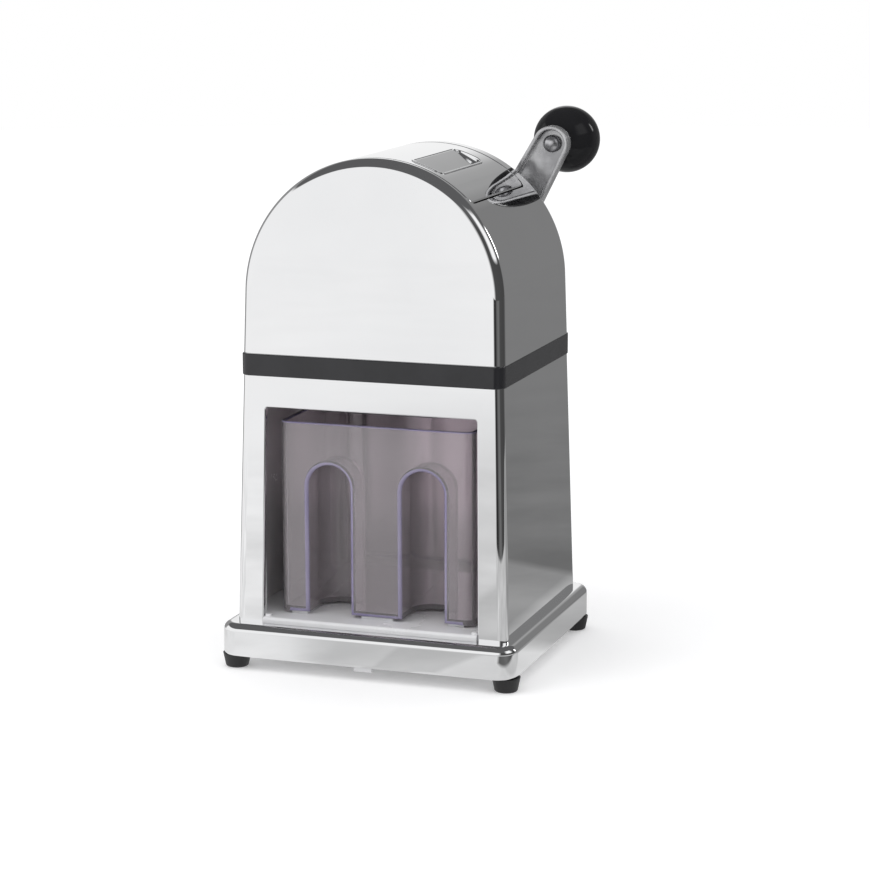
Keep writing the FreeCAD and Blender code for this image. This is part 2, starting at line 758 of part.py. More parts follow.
# ----------------------------------------------------------------- chamber, chute


def chamber_screw_places():
    x = "(chamber_width/2 + flange_reach/2)"
    reach = "2*blade_pitch"
    return [(f"{side}{x}", f"{CHAMBER_MIDDLE} {end}{reach}") for side in "-+" for end in "-+"]


def comb_screw_places():
    """Y of the three screws that hold the comb."""
    return [f"{CHAMBER_MIDDLE} + {k}*2*blade_pitch" for k in (-1, 0, 1)]


COMB_SCREW_Z = f"({SHAFT_Z} + comb_above - 3*small_screw_radius)"


def make_chamber():
    """The crushing chamber: an open box round the rotor with a flange that sits in the band."""
    chamber = body("crush_chamber")
    half = "chamber_width/2"
    tall = "(chamber_below + chamber_above)"
    pad(chamber, "z", CHAMBER_BOTTOM, tall,
        rectangle(f"-{half}", half, "-chamber_front", "chamber_rear"))
    reach = f"({half} + flange_reach)"
    pad(chamber, "z", WEB_TOP, "flange_thickness",
        rectangle(f"-{reach}", reach, "-chamber_front - flange_reach",
                  "chamber_rear + flange_reach"))
    inner = f"({half} - chamber_wall)"
    cut(chamber, "z", CHAMBER_BOTTOM, tall,
        rectangle(f"-{inner}", inner, "chamber_wall - chamber_front",
                  "chamber_rear - chamber_wall"))
    pad(chamber, "y", "chamber_wall - chamber_front", "bearing_boss_length",
        circle("0", SHAFT_Z, "bearing_boss_radius"))
    cut(chamber, "y", "-chamber_front - 1", "chamber_wall + bearing_boss_length + 1",
        circle("0", SHAFT_Z, "bush_radius + running_fit"))
    cut(chamber, "y", "chamber_rear - chamber_wall", "chamber_wall + flange_reach",
        circle("0", SHAFT_Z, "shaft_radius + 3*seat_gap"))
    cut(chamber, "z", WEB_TOP, "flange_thickness",
        *[circle(x, y, "small_screw_radius + running_fit") for x, y in chamber_screw_places()])
    cut(chamber, "x", inner, "chamber_wall",
        *[circle(y, COMB_SCREW_Z, "small_screw_radius + running_fit")
          for y in comb_screw_places()])


def make_chamber_screws():
    screws = body("chamber_screws")
    seat = f"({WEB_TOP} + flange_thickness)"
    pad(screws, "z", f"{BAND_BOTTOM} + seat_gap", f"{seat} - {BAND_BOTTOM} - seat_gap",
        *[circle(x, y, "small_screw_radius") for x, y in chamber_screw_places()])
    pad(screws, "z", seat, "head_height",
        *[circle(x, y, "2*small_screw_radius") for x, y in chamber_screw_places()])


def make_chute():
    """The funnel under the lid. Its top edge follows the arch, and the lid rests over it."""
    chute = body("ice_chute")
    tall = "(chamber_front + chamber_rear)"

    def funnel(wall):
        low = f"(chamber_width/2 - {wall})"
        left, right = f"-(chute_left - {wall})", f"chute_right - {wall}"
        shoulder = f"{ARCH_Z} + chute_shoulder"
        return polygon((f"-{low}", CHAMBER_TOP), (low, CHAMBER_TOP), (right, shoulder),
                       (right, ARCH_TOP), (left, ARCH_TOP), (left, shoulder))

    pad(chute, "y", "-chamber_front", tall, funnel("0"))
    cut(chute, "y", "chamber_wall - chamber_front", f"{tall} - 2*chamber_wall",
        funnel("chamber_wall"))
    rest = "arch_radius - lid_thickness - slide_gap"
    cut(chute, "y", "-chamber_front", tall,
        circle("0", ARCH_Z, "2*arch_radius"), circle("0", ARCH_Z, rest))


def make_comb():
    """The fixed comb on the chamber's right wall. Its teeth stand between the rotor's blades."""
    comb = body("comb_blade")
    wall = "(chamber_width/2 - chamber_wall)"
    face = f"({wall} - comb_thickness)"
    bottom, top = f"{SHAFT_Z} - comb_below", f"{SHAFT_Z} + comb_above"
    pad(comb, "x", face, "comb_thickness",
        rectangle("chamber_wall + slide_gap - chamber_front",
                  "chamber_rear - chamber_wall - slide_gap", bottom, top))
    for k in range(BLADE_COUNT - 1):
        start = f"{CHAMBER_MIDDLE} + {k - (BLADE_COUNT - 2) / 2}*blade_pitch - tooth_thickness/2"
        pad(comb, "y", start, "tooth_thickness",
            polygon((face, bottom), (f"{face} + 1", bottom), (f"{face} + 1", f"{top} - 5"),
                    (face, f"{top} - 5"), ("tooth_tip", f"{SHAFT_Z} + tooth_thickness"),
                    ("tooth_tip", f"{SHAFT_Z} - tooth_thickness")))
    cut(comb, "x", face, "comb_thickness",
        *[circle(y, COMB_SCREW_Z, "small_screw_radius + running_fit")
          for y in comb_screw_places()])


def make_comb_screws():
    screws = body("comb_screws")
    outside = "(chamber_width/2)"
    length = "(chamber_wall + comb_thickness - seat_gap)"
    pad(screws, "x", f"{outside} - {length}", length,
        *[circle(y, COMB_SCREW_Z, "small_screw_radius") for y in comb_screw_places()])
    pad(screws, "x", outside, "head_height",
        *[circle(y, COMB_SCREW_Z, "2*small_screw_radius") for y in comb_screw_places()])


def make_bushes():
    """The shaft's two bearings."""
    front = body("front_bush", z=SHAFT_Z)
    bore = "journal_radius + running_fit"
    revolve(front, "y", ("-chamber_front", bore), ("-chamber_front", "bush_radius"),
            (BEARING_BOSS_END, "bush_radius"), (BEARING_BOSS_END, bore))
    rear = body("rear_bush", z=SHAFT_Z)
    bore = "shaft_radius + running_fit"
    start = REAR_BUSH_START
    revolve(rear, "y", (start, bore), (start, "bush_radius"), (BOSS_END, "bush_radius"),
            (BOSS_END, "bush_flange_radius"), (BUSH_END, "bush_flange_radius"), (BUSH_END, bore))


# ------------------------------------------------------------------------- rotor


def make_shaft():
    """The rotor's shaft: front journal, square for the blades, rear journal, square for the crank."""
    shaft = body("rotor_shaft", z=SHAFT_Z, turn="crank_angle")
    clip_front = f"({STACK_FRONT} - clip_thickness)"
    groove = "journal_radius - clip_thickness/2"
    front = "2*slide_gap - chamber_front"
    revolve(shaft, "y", (front, "0"), (front, "journal_radius"),
            (clip_front, "journal_radius"), (clip_front, groove),
            (STACK_FRONT, groove), (STACK_FRONT, "0"))
    square = "shaft_square"
    pad(shaft, "y", STACK_FRONT, f"{STACK_REAR} - {STACK_FRONT}", centred(square, square))
    pad(shaft, "y", STACK_REAR, f"{HUB_FRONT} - seat_gap - {STACK_REAR}",
        circle("0", "0", "shaft_radius"))
    start = f"({HUB_FRONT} - seat_gap)"
    end = f"({ARM_BACK} - 2*seat_gap)"
    pad(shaft, "y", start, f"{end} - {start}", centred("shaft_square", "shaft_square"))
    cut(shaft, "y", f"{end} - hub_screw_bite", "hub_screw_bite",
        circle("0", "0", "hub_screw_radius + running_fit"))


def make_clip():
    clip = body("shaft_clip", z=SHAFT_Z, turn="crank_angle")
    start = f"{STACK_FRONT} - clip_thickness"
    inner = "journal_radius - clip_thickness/2 + running_fit"
    revolve(clip, "y", (start, inner), (start, "clip_radius"),
            (STACK_FRONT, "clip_radius"), (STACK_FRONT, inner))


def make_blades():
    """The rotor's blades, each turned a little further than the one before it."""
    points = []
    for k in range(PRONGS):
        middle = 360 / PRONGS * k
        for radius, angle in (("0.86*blade_reach", middle - 9), ("blade_reach", middle + 5),
                              ("blade_root", middle + 180 / PRONGS)):
            points.append((f"{radius}*cos({angle})", f"{radius}*sin({angle})"))
    hole = "shaft_square + 2*running_fit"
    for k in range(BLADE_COUNT):
        turn = f"crank_angle + {k}*blade_twist"
        blade = body(f"rotor_blade_{k + 1}", z=SHAFT_Z, turn=turn)
        start = f"{CHAMBER_MIDDLE} + {k - (BLADE_COUNT - 1) / 2}*blade_pitch - blade_thickness/2"
        pad(blade, "y", start, "blade_thickness", polygon(*points))
        corners = [(f"{i}*cos({k}*blade_twist) - {j}*sin({k}*blade_twist)",
                    f"{j}*cos({k}*blade_twist) + {i}*sin({k}*blade_twist)")
                   for i, j in square_corners(hole)]
        cut(blade, "y", start, "blade_thickness", polygon(*corners))


def square_corners(side):
    """The corners of a square round the axis, in order."""
    half = f"({side})/2"
    return [(f"-{half}", f"-{half}"), (half, f"-{half}"), (half, half), (f"-{half}", half)]


def make_spacers():
    """The sleeves that keep the blades apart."""
    hole = "shaft_square + 2*running_fit"
    for k in range(BLADE_COUNT + 1):
        front = f"{CHAMBER_MIDDLE} + {k - (BLADE_COUNT + 1) / 2}*blade_pitch + blade_thickness/2"
        start = STACK_FRONT if k == 0 else front
        length = "end_spacer" if k in (0, BLADE_COUNT) else "blade_pitch - blade_thickness"
        spacer = body(f"rotor_spacer_{k + 1}", z=SHAFT_Z, turn="crank_angle")
        pad(spacer, "y", start, length, circle("0", "0", "spacer_radius"))
        cut(spacer, "y", start, length, centred(hole, hole))


# ----------------------------------------------------------------- upper housing


def make_upper_housing():
    """The plated arch: leaning faces with rounded rims, hollow, open below and under the lid."""
    housing = body("upper_housing")
    foot_half = "(arch_radius + side_height*sin(side_tilt))/cos(side_tilt)"
    shoulder = polar("arch_radius", "90 - side_tilt")
    start = "-upper_depth/2"
    pad(housing, "y", start, "upper_depth",
        polygon((f"-{foot_half}", BAND_TOP), (foot_half, BAND_TOP),
                shoulder, (f"-{shoulder[0]}", shoulder[1])))
    pad(housing, "y", start, "upper_depth", circle("0", ARCH_Z, "arch_radius"))
    cut(housing, "y", start, "upper_depth",
        rectangle("-2*arch_radius", "2*arch_radius", f"{ARCH_Z} - 2*arch_radius", BAND_TOP))
    lean = "2*arch_radius*tan(face_tilt)"
    above = f"{BAND_TOP} + 2*arch_radius"
    cut(housing, "x", "-2*arch_radius", "4*arch_radius",
        *[polygon((f"{side}(upper_depth/2 + 1)", BAND_TOP), (f"{side}upper_depth/2", BAND_TOP),
                  (f"{side}(upper_depth/2 - {lean})", above),
                  (f"{side}(upper_depth/2 + 1)", above)) for side in "-+"])
    inside = number("upper_depth/2 - 2*upper_edge")
    round_edges(housing, "upper_edge",
                lambda edge: abs(edge.CenterOfMass.y) > inside
                and not (is_level(edge) and near(edge.BoundBox.ZMin, BAND_TOP)))
    hollow(housing, "upper_wall", lambda face: near(face.CenterOfMass.z, BAND_TOP))
    pad(housing, "z", BAND_TOP, "upper_boss_height",
        *[circle(x, y, "pillar_radius") for x, y in four_corners("tie_x", "tie_y")])
    cut(housing, "z", BAND_TOP, "tie_bite + seat_gap",
        *[circle(x, y, "tie_radius + running_fit") for x, y in four_corners("tie_x", "tie_y")])
    cut(housing, "y", "upper_depth/2 - 3*upper_wall", "4*upper_wall",
        circle("0", SHAFT_Z, "boss_radius + seat_gap"))
    sides = "-lid_front - lid_gap", "lid_rear + lid_gap"
    over_chute = f"{ARCH_Z} + chute_shoulder - 2"
    cut(housing, "z", over_chute, "arch_radius",
        rectangle(f"{HINGE_X} - barrel_radius - swing_gap", "0", *sides))
    cut(housing, "z", over_chute, "arch_radius",
        rounded("-2*lid_corner", f"{LID_X} + lid_gap", *sides, "(lid_corner + lid_gap)"))
    cut(housing, "y", "-lid_front - lid_gap - pin_seat", f"{LID_LENGTH} + 2*(lid_gap + pin_seat)",
        circle(HINGE_X, HINGE_Z, "pin_radius + running_fit"))


def make_hinge_pin():
    pin = body("lid_hinge_pin", HINGE_X, z=HINGE_Z)
    pad(pin, "y", "seat_gap - lid_front - lid_gap - pin_seat",
        f"{LID_LENGTH} + 2*(lid_gap + pin_seat - seat_gap)", circle("0", "0", "pin_radius"))


def make_lid():
    """The curved lid, with a barrel for the hinge pin at its left and a finger dish."""
    lid = body("lid")
    pad(lid, "y", "-lid_front", LID_LENGTH, circle("0", ARCH_Z, "arch_radius"))
    cut(lid, "y", "-lid_front", LID_LENGTH, circle("0", ARCH_Z, "arch_radius - lid_thickness"))
    edge, over, under = "2*arch_radius", f"{ARCH_Z} + 2*arch_radius", f"{ARCH_Z} - 2*arch_radius"
    cut(lid, "y", "-lid_front", LID_LENGTH,
        polygon((LID_X, over), (edge, over), (edge, under), (f"-{edge}", under),
                polar("2*arch_radius", "-lid_angle"), ("0", ARCH_Z), (LID_X, ARCH_Z)))
    far = "2*arch_radius"
    cut(lid, "z", ARCH_Z, far, centred(f"3*{far}", far),
        rounded(f"-{far}", LID_X, "-lid_front", "lid_rear", "lid_corner"))
    pad(lid, "y", "-lid_front", LID_LENGTH, circle(HINGE_X, HINGE_Z, "barrel_radius"))
    skin = "arch_radius - grip_depth - grip_skin"
    pad(lid, "y", "-grip_front - grip_skin", "grip_front + grip_rear + 2*grip_skin",
        polygon(*[polar(radius, angle) for radius, angle in (
            (f"{skin} - 0.5", "grip_from - grip_skin"), (f"{skin} - 0.5", "grip_to + grip_skin"),
            ("arch_radius - grip_skin", "grip_to + grip_skin"),
            ("arch_radius - grip_skin", "grip_from - grip_skin"))]))
    cut(lid, "y", "-grip_front", "grip_front + grip_rear",
        polygon(*[polar(radius, angle) for radius, angle in (
            ("arch_radius - grip_depth", "grip_from"), ("arch_radius - grip_depth", "grip_to"),
            ("arch_radius + grip_depth", "grip_to"), ("arch_radius + grip_depth", "grip_from"))]))
    cut(lid, "y", "-lid_front", LID_LENGTH,
        circle(HINGE_X, HINGE_Z, "pin_radius + running_fit"))


# ------------------------------------------------------------------------- crank


def teardrop(hub_radius, tip_radius):
    """Draws the arm's outline in three strokes: two circles and the quadrilateral between."""
    lean = f"(({hub_radius}) - ({tip_radius}))/crank_length"
    across = f"sqrt(1 - ({lean})^2)"
    hub_x, hub_z = f"({hub_radius})*{across}", f"({hub_radius})*{lean}"
    tip_x, tip_z = f"({tip_radius})*{across}", f"crank_length + ({tip_radius})*{lean}"
    sides = polygon((f"-{hub_x}", hub_z), (hub_x, hub_z), (tip_x, tip_z), (f"-{tip_x}", tip_z))
    return circle("0", "0", hub_radius), circle("0", "crank_length", tip_radius), sides


def make_arm():
    """The crank arm: a channel open to the front, with a square hub and a rivet ring."""
    arm = body("crank_arm", z=SHAFT_Z, turn="crank_angle")
    for stroke in teardrop("arm_hub_radius", "arm_tip_radius"):
        pad(arm, "y", ARM_FRONT, "arm_depth + arm_floor", stroke)
    for stroke in teardrop("arm_hub_radius - arm_rim", "arm_tip_radius - arm_rim"):
        cut(arm, "y", ARM_FRONT, "arm_depth", stroke)
    pad(arm, "y", HUB_FRONT, f"{ARM_FLOOR} - {HUB_FRONT}", circle("0", "0", "hub_radius"))
    ring_front = f"({ARM_FLOOR} - rivet_ring_height)"
    pad(arm, "y", ring_front, "rivet_ring_height",
        circle("0", "crank_length", "rivet_ring_radius"))
    hole = "shaft_square + 2*running_fit"
    cut(arm, "y", HUB_FRONT, f"{ARM_BACK} - {HUB_FRONT}", centred(hole, hole))
    cut(arm, "y", ring_front, "rivet_ring_height - arm_rim",
        circle("0", "crank_length", "rivet_head_radius + seat_gap"))
    cut(arm, "y", ring_front, "rivet_ring_height + arm_floor",
        circle("0", "crank_length", "rivet_radius + running_fit"))


def make_crank_screw():
    """The screw that holds the arm on the end of the shaft."""
    screw = body("crank_screw", z=SHAFT_Z, turn="crank_angle")
    bite = "(hub_screw_bite - 4*seat_gap)"
    pad(screw, "y", f"{ARM_BACK} - {bite}", bite, circle("0", "0", "hub_screw_radius"))
    pad(screw, "y", ARM_BACK, "2*head_height", circle("0", "0", "hub_screw_head"))
    back = f"{ARM_BACK} + 2*head_height"
    round_edges(screw, "head_height", lambda edge: near(edge.BoundBox.YMin, back))


KNOB_X = "crank_length*sin(crank_angle)"
KNOB_Z = f"{SHAFT_Z} + crank_length*cos(crank_angle)"


def make_washer():
    washer = body("knob_washer", KNOB_X, z=KNOB_Z)
    start, end = ARM_BACK, f"{ARM_BACK} + washer_thickness"
    inner = "rivet_radius + running_fit"
    revolve(washer, "y", (start, inner), (start, "washer_radius"),
            (end, "washer_radius"), (end, inner))


def make_spindle():
    """The riveted pin that the knob turns on."""
    spindle = body("knob_spindle", KNOB_X, z=KNOB_Z)
    seat = f"({ARM_FLOOR} - arm_rim)"
    head_front = f"({seat} - rivet_head_height)"
    shoulder = f"{ARM_BACK} + washer_thickness"
    head = f"({RECESS_FLOOR} + slide_gap)"
    end = f"{head} + spindle_head"
    revolve(spindle, "y", (head_front, "0"), (head_front, "rivet_head_radius"),
            (seat, "rivet_head_radius"), (seat, "rivet_radius"), (shoulder, "rivet_radius"),
            (shoulder, "spindle_radius"), (head, "spindle_radius"),
            (head, "spindle_head_radius"), (end, "spindle_head_radius"), (end, "0"))
    round_edges(spindle, "0.8*rivet_head_height", lambda edge: near(edge.BoundBox.YMax, head_front))


def make_knob():
    """The ball knob, with a short neck, a bore and a recess for the spindle's head."""
    knob = body("knob", KNOB_X, z=KNOB_Z)
    revolve(knob, "y", (KNOB_FRONT, "0"), (KNOB_FRONT, "knob_neck_radius"),
            (BALL_Y, "knob_neck_radius"), (BALL_Y, "0"))
    ball("Additive", knob, "knob_radius", "0", BALL_Y, "0")
    cut(knob, "y", KNOB_FRONT, "2*knob_radius + knob_reach",
        circle("0", "0", "spindle_radius + running_fit"))
    cut(knob, "y", RECESS_FLOOR, "2*knob_recess", circle("0", "0", "spindle_head_radius + seat_gap"))


# ------------------------------------------------------------------------ export


def export_parts():
    """Writes each piece to its own file, once every object has computed."""
    doc.recompute()
    for item in doc.Objects:
        if "Invalid" in item.State or "Error" in item.State:
            raise RuntimeError(f"{item.Name} failed: {item.getStatusString()}")
    pieces = [item for item in doc.Objects if item.TypeId == "PartDesign::Body"]
    for piece in pieces:
        if piece.Shape.isNull() or not piece.Shape.isValid():
            raise RuntimeError(f"{piece.Label} is not a valid solid")
    for piece in pieces:
        piece.Shape.exportStep(f"parts/{piece.Label}.step")
        print(piece.Label, len(piece.Shape.Solids), round(piece.Shape.Volume))


for make in (
    make_feet, make_foot_screws, make_plinth, make_base_cover, make_cover_screws,
    make_housing_screws, make_lower_housing, make_floor_plate, make_drawer, make_band,
    make_chamber, make_chamber_screws, make_chute, make_comb, make_comb_screws, make_bushes,
    make_shaft, make_clip, make_blades, make_spacers, make_upper_housing, make_hinge_pin,
    make_lid, make_arm, make_crank_screw, make_washer, make_spindle, make_knob,
):
    make()
export_parts()
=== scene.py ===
"""Looks of the hand-cranked ice shaver: its plated shells, black band, clear drawer, lid, crank
and ball knob, on a pale studio floor. Sizes are in millimetres from the middle of the housing.
"""

import json
import math

import bmesh
import bpy
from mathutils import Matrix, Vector


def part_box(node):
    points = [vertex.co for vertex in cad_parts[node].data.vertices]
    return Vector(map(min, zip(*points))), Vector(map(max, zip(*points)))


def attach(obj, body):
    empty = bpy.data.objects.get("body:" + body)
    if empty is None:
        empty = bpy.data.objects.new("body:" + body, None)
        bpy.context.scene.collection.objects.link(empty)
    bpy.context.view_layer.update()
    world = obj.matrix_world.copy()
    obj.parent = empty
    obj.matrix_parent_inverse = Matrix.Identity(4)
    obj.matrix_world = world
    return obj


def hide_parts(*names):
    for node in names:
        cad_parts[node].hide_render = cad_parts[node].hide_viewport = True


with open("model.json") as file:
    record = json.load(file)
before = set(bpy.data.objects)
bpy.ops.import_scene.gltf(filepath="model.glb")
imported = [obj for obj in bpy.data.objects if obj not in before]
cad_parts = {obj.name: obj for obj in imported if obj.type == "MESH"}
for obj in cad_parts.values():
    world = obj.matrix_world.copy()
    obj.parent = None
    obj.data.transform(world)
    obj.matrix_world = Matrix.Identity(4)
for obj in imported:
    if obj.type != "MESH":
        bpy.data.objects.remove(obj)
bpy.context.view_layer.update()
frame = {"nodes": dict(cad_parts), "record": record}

MM = 0.001
plinth_low, plinth_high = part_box("plinth")
MIDDLE_Y = (plinth_low.y + plinth_high.y) / 2 / MM

# levels
PLINTH_BOTTOM = plinth_low.z / MM
PLINTH_TOP = plinth_high.z / MM
BAND_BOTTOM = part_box("lower_housing")[1].z / MM
BAND_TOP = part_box("upper_housing")[0].z / MM
SHAFT_Z = (BAND_BOTTOM + BAND_TOP) / 2
ARCH_Z = BAND_TOP + 28.6

# plated shells. Widths and depths are halves, from the middle
WALL = 3
ARCH_RADIUS = 64.282
ARCH_BLANK = 70                     # half length of the bar that the arch is cut from
SIDE_TILT, FACE_TILT = math.radians(1.4), math.radians(2)
UPPER_FOOT, UPPER_DEPTH = 65, 53.8
RIM_RADIUS = 5.5
SKIRT = 67.8, 57.8
LOWER_TOP = 64.7, 54.2
LOWER_CORNER = 4.5
MOUTH_FOOT, MOUTH_TOP, MOUTH_HEIGHT = 53.8, 52.3, 104.1
MOUTH_CORNER, MOUTH_LIP = 1.2, 0.7
BEARING_RADIUS = 11.2
TIE_X, TIE_Y, TIE_RADIUS = 60, 48, 3.8
TIE_BOSS = 20                       # how far the upper shell's screw bosses reach up
PLINTH = 73.65, 66.4
PLINTH_CORNER, PLINTH_SHOULDER, PLINTH_HEM, PLINTH_RIM = 9, 3.8, 1.5, 1.5

# band and feet
BAND_INSIDE = 59.9, 50.3            # the band's outer faces lie beyond these
BAND_EDGE, WORKS_EDGE = 0.5, 0.12
FOOT_X, FOOT_Y, FOOT_HEIGHT = 67.7, 57.5, 6.7
FOOT_TREAD, FOOT_HEAD, FOOT_EDGE = 5.4, 6.75, 0.9
FOOT_RIM, FOOT_RECESS = 2.2, 2.6

# lid. Across the arch, the dish's sizes are arc lengths from its top
LID_ANGLE = 46
LID_X = ARCH_RADIUS * math.sin(math.radians(LID_ANGLE))
LID_FRONT, LID_REAR = -44, 38
LID_THICKNESS, LID_CORNER, LID_EDGE = 2.7, 4, 0.9
LID_GAP, LID_FREE_GAP = 0.7, 0.45   # at its front and rear, and at its free side
DISH_FROM, DISH_TO = 15.2, 30.8
DISH_FRONT, DISH_REAR = -38, 24
DISH_DEPTH, DISH_CORNER, DISH_DRAFT = 1.5, 4.5, 0.25
DISH_HEEL, DISH_LIP = 0.6, 0.3
DISH_LEAN = math.radians(30)        # its flat floor, from level
BEAD_WIDTH, BEAD_HEIGHT, BEAD_EDGE = 1.1, 0.4, 0.35
BARREL_RADIUS, BARREL_ROOM = 2, 3.5
HINGE_RADIUS = ARCH_RADIUS - BARREL_RADIUS
HINGE_X = -HINGE_RADIUS * math.sin(math.radians(LID_ANGLE))
HINGE_Z = ARCH_Z + HINGE_RADIUS * math.cos(math.radians(LID_ANGLE))

# crank
CRANK_ANGLE = math.radians(28.7)
CRANK_LENGTH = 110.2
ARM_FRONT, ARM_FLOOR, ARM_BACK = 58.7, 63.7, 65.7
ARM_FOOT, ARM_TIP, ARM_WALL = 13, 8.8, 1.8
HUB_RADIUS, HUB_HOLE = 10, 2.85
RING_RADIUS, RING_WALL, RING_DEPTH = 6.6, 1.9, 2.7
RING_FRONT = ARM_FLOOR - 4.5
ROOTED = 0.5                        # how deep a piece is set into what carries it
KNOB_RADIUS = 16.6
BALL_Y = 88.3
KNOB_X = CRANK_LENGTH * math.sin(CRANK_ANGLE)
KNOB_Z = SHAFT_Z + CRANK_LENGTH * math.cos(CRANK_ANGLE)
NECK_RADIUS, NECK_TAPER, NECK_WALL, NECK_BORE = 7.3, 0.96, 3.3, 12
RECESS_RADIUS, RECESS_FLOOR = 5.4, 98.2
RIVET_SEAT = RING_FRONT + RING_DEPTH
RIVET_RADIUS, RIVET_DOME = 4.3, 0.8
PIN_RADIUS, HEAD_RADIUS, HEAD_EDGE = 2.5, 5.2, 0.8
HEAD_FROM, HEAD_TO = 98.5, 101.5

# drawer
DRAWER_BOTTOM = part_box("ice_drawer")[0].z / MM
DRAWER_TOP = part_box("ice_drawer")[1].z / MM
DRAWER_X = 48.5
DRAWER_FRONT, DRAWER_REAR = -48.5, 44
DRAWER_WALL, DRAWER_CORNER = 2.2, 5
DRAWER_LIP, DRAWER_RIM, DRAWER_HEEL = 1.6, 0.7, 1.4
FLUTE_X = 23.4
FLUTE_RADIUS = 10.6
FLUTE_MIDDLE = DRAWER_FRONT + 24.2 - FLUTE_RADIUS
FLUTE_SPRING = DRAWER_BOTTOM + 72.2 - FLUTE_RADIUS


# ------------------------------------------------------------------- modelling helpers


def at(x, y, z):
    """The frame's place for a point given from the middle of the housing."""
    return Vector((x, y + MIDDLE_Y, z)) * MM


def front_of(node):
    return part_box(node)[0].y / MM - MIDDLE_Y


def only(piece):
    """Makes a piece the only one selected."""
    bpy.ops.object.select_all(action="DESELECT")
    piece.select_set(True)
    bpy.context.view_layer.objects.active = piece


def settle(piece, name):
    """Names a piece and bakes its place, turn and size into its mesh."""
    piece.name = piece.data.name = name
    only(piece)
    bpy.ops.object.transform_apply(location=True, rotation=True, scale=True)
    return piece


def block(name, low, high):
    bpy.ops.object.select_all(action="DESELECT")
    low, high = at(*low), at(*high)
    bpy.ops.mesh.primitive_cube_add(size=1, location=(low + high) / 2, scale=high - low)
    return settle(bpy.context.object, name)


TURNS = {"y": (math.pi / 2, 0, 0), "z": (0, 0, 0)}


def rod(name, axis, across, ends, radius, sides=64, tip=None):
    """A cylinder or cone between its ends along an axis. The tip is its far end's radius."""
    bpy.ops.object.select_all(action="DESELECT")
    start, end = ends
    centre = list(across)
    centre.insert("xyz".index(axis), (start + end) / 2)
    far = radius if tip is None else tip
    low, high = (far, radius) if axis == "y" else (radius, far)
    bpy.ops.mesh.primitive_cone_add(
        vertices=sides, radius1=low * MM, radius2=high * MM, depth=(end - start) * MM,
        location=at(*centre), rotation=TURNS[axis])
    return settle(bpy.context.object, name)


def globe(name, axis, centre, radius, segments):
    bpy.ops.object.select_all(action="DESELECT")
    bpy.ops.mesh.primitive_uv_sphere_add(
        segments=segments, ring_count=segments // 2, radius=radius * MM,
        location=at(*centre), rotation=TURNS[axis])
    return settle(bpy.context.object, name)


def pick(piece, kind, wanted):
    """Opens a piece for editing with only the wanted faces, edges or vertices selected."""
    only(piece)
    bpy.ops.object.mode_set(mode="EDIT")
    bpy.ops.mesh.select_mode(type={"verts": "VERT", "edges": "EDGE", "faces": "FACE"}[kind])
    bpy.ops.mesh.select_all(action="DESELECT")
    mesh = bmesh.from_edit_mesh(piece.data)
    for item in getattr(mesh, kind):
        if wanted(item):
            item.select_set(True)
    mesh.select_flush_mode()
    bmesh.update_edit_mesh(piece.data)


def done():
    bpy.ops.object.mode_set(mode="OBJECT")


def middle(item):
    """The middle of a face or edge in millimetres from the middle of the housing."""
    points = [vert.co for vert in item.verts]
    spot = sum(points, Vector()) / len(points) / MM
    return Vector((spot.x, spot.y - MIDDLE_Y, spot.z))


def corner_angle(edge):
    return math.degrees(edge.calc_face_angle(0)) if len(edge.link_faces) == 2 else 180


def close(a, b, reach=0.02):
    return abs(a - b) < reach


def everything(item):
    return True


def rising(edge):
    """Whether an edge goes up."""
    first, last = edge.verts
    return abs(first.co.z - last.co.z) > 0.1 * MM


def at_height(z):
    """Picks the vertices at a height."""
    return lambda vert: close(vert.co.z / MM, z, 0.001)


def lying_at(z):
    """Picks the edges that lie level at a height."""
    return lambda edge: all(close(vert.co.z / MM, z, 0.001) for vert in edge.verts)


def facing(*way):
    """Picks the faces that look one way."""
    return lambda face: face.normal.dot(Vector(way)) > 0.99


def sharp_at(axis, place, least=60, reach=0.02):
    """Picks the sharp edges at a place along an axis."""
    return lambda edge: (close(getattr(middle(edge), axis), place, reach)
                         and corner_angle(edge) > least)


def push(*shift):
    """Draws the selected faces out or in, by millimetres along x, y and z."""
    bpy.ops.mesh.extrude_region_move(
        TRANSFORM_OT_translate={"value": [part * MM for part in shift]})


def sink(rim, *shift):
    """Sinks the selected faces inside a rim of this width."""
    bpy.ops.mesh.inset(thickness=rim * MM, depth=0)
    push(*shift)


def stretch(factors, *centre):
    """Stretches what is selected along x, y and z, about a centre."""
    bpy.ops.transform.resize(value=factors, center_override=at(*centre))


def slice_off(piece, point, normal):
    """Cuts away what lies beyond a plane, on the side its normal points to."""
    pick(piece, "faces", everything)
    bpy.ops.mesh.bisect(plane_co=at(*point), plane_no=normal, clear_outer=True, use_fill=True)
    done()


def round_off(piece, radius, segments, wanted, slot=None):
    """Rounds the wanted edges, and may give the rounded faces another material slot."""
    pick(piece, "edges", wanted)
    bpy.ops.mesh.bevel(offset=radius * MM, segments=segments, profile=0.5, affect="EDGES",
                       clamp_overlap=False)
    if slot is not None:
        for face in bmesh.from_edit_mesh(piece.data).faces:
            if face.select:
                face.material_index = slot
    done()


def remove_faces(piece, wanted):
    pick(piece, "faces", wanted)
    bpy.ops.mesh.delete(type="FACE")
    done()


def apply(piece, kind, **settings):
    """Adds a modifier with these settings and applies it."""
    only(piece)
    modifier = piece.modifiers.new(kind.lower(), kind)
    for key, value in settings.items():
        setattr(modifier, key, value)
    bpy.ops.object.modifier_apply(modifier=modifier.name)


def thicken(piece, inner_slot=0):
    """Gives an open skin its wall, inwards from its outside. The inside may have its own finish."""
    apply(piece, "SOLIDIFY", thickness=WALL * MM, offset=-1, use_even_offset=True,
          material_offset=inner_slot)


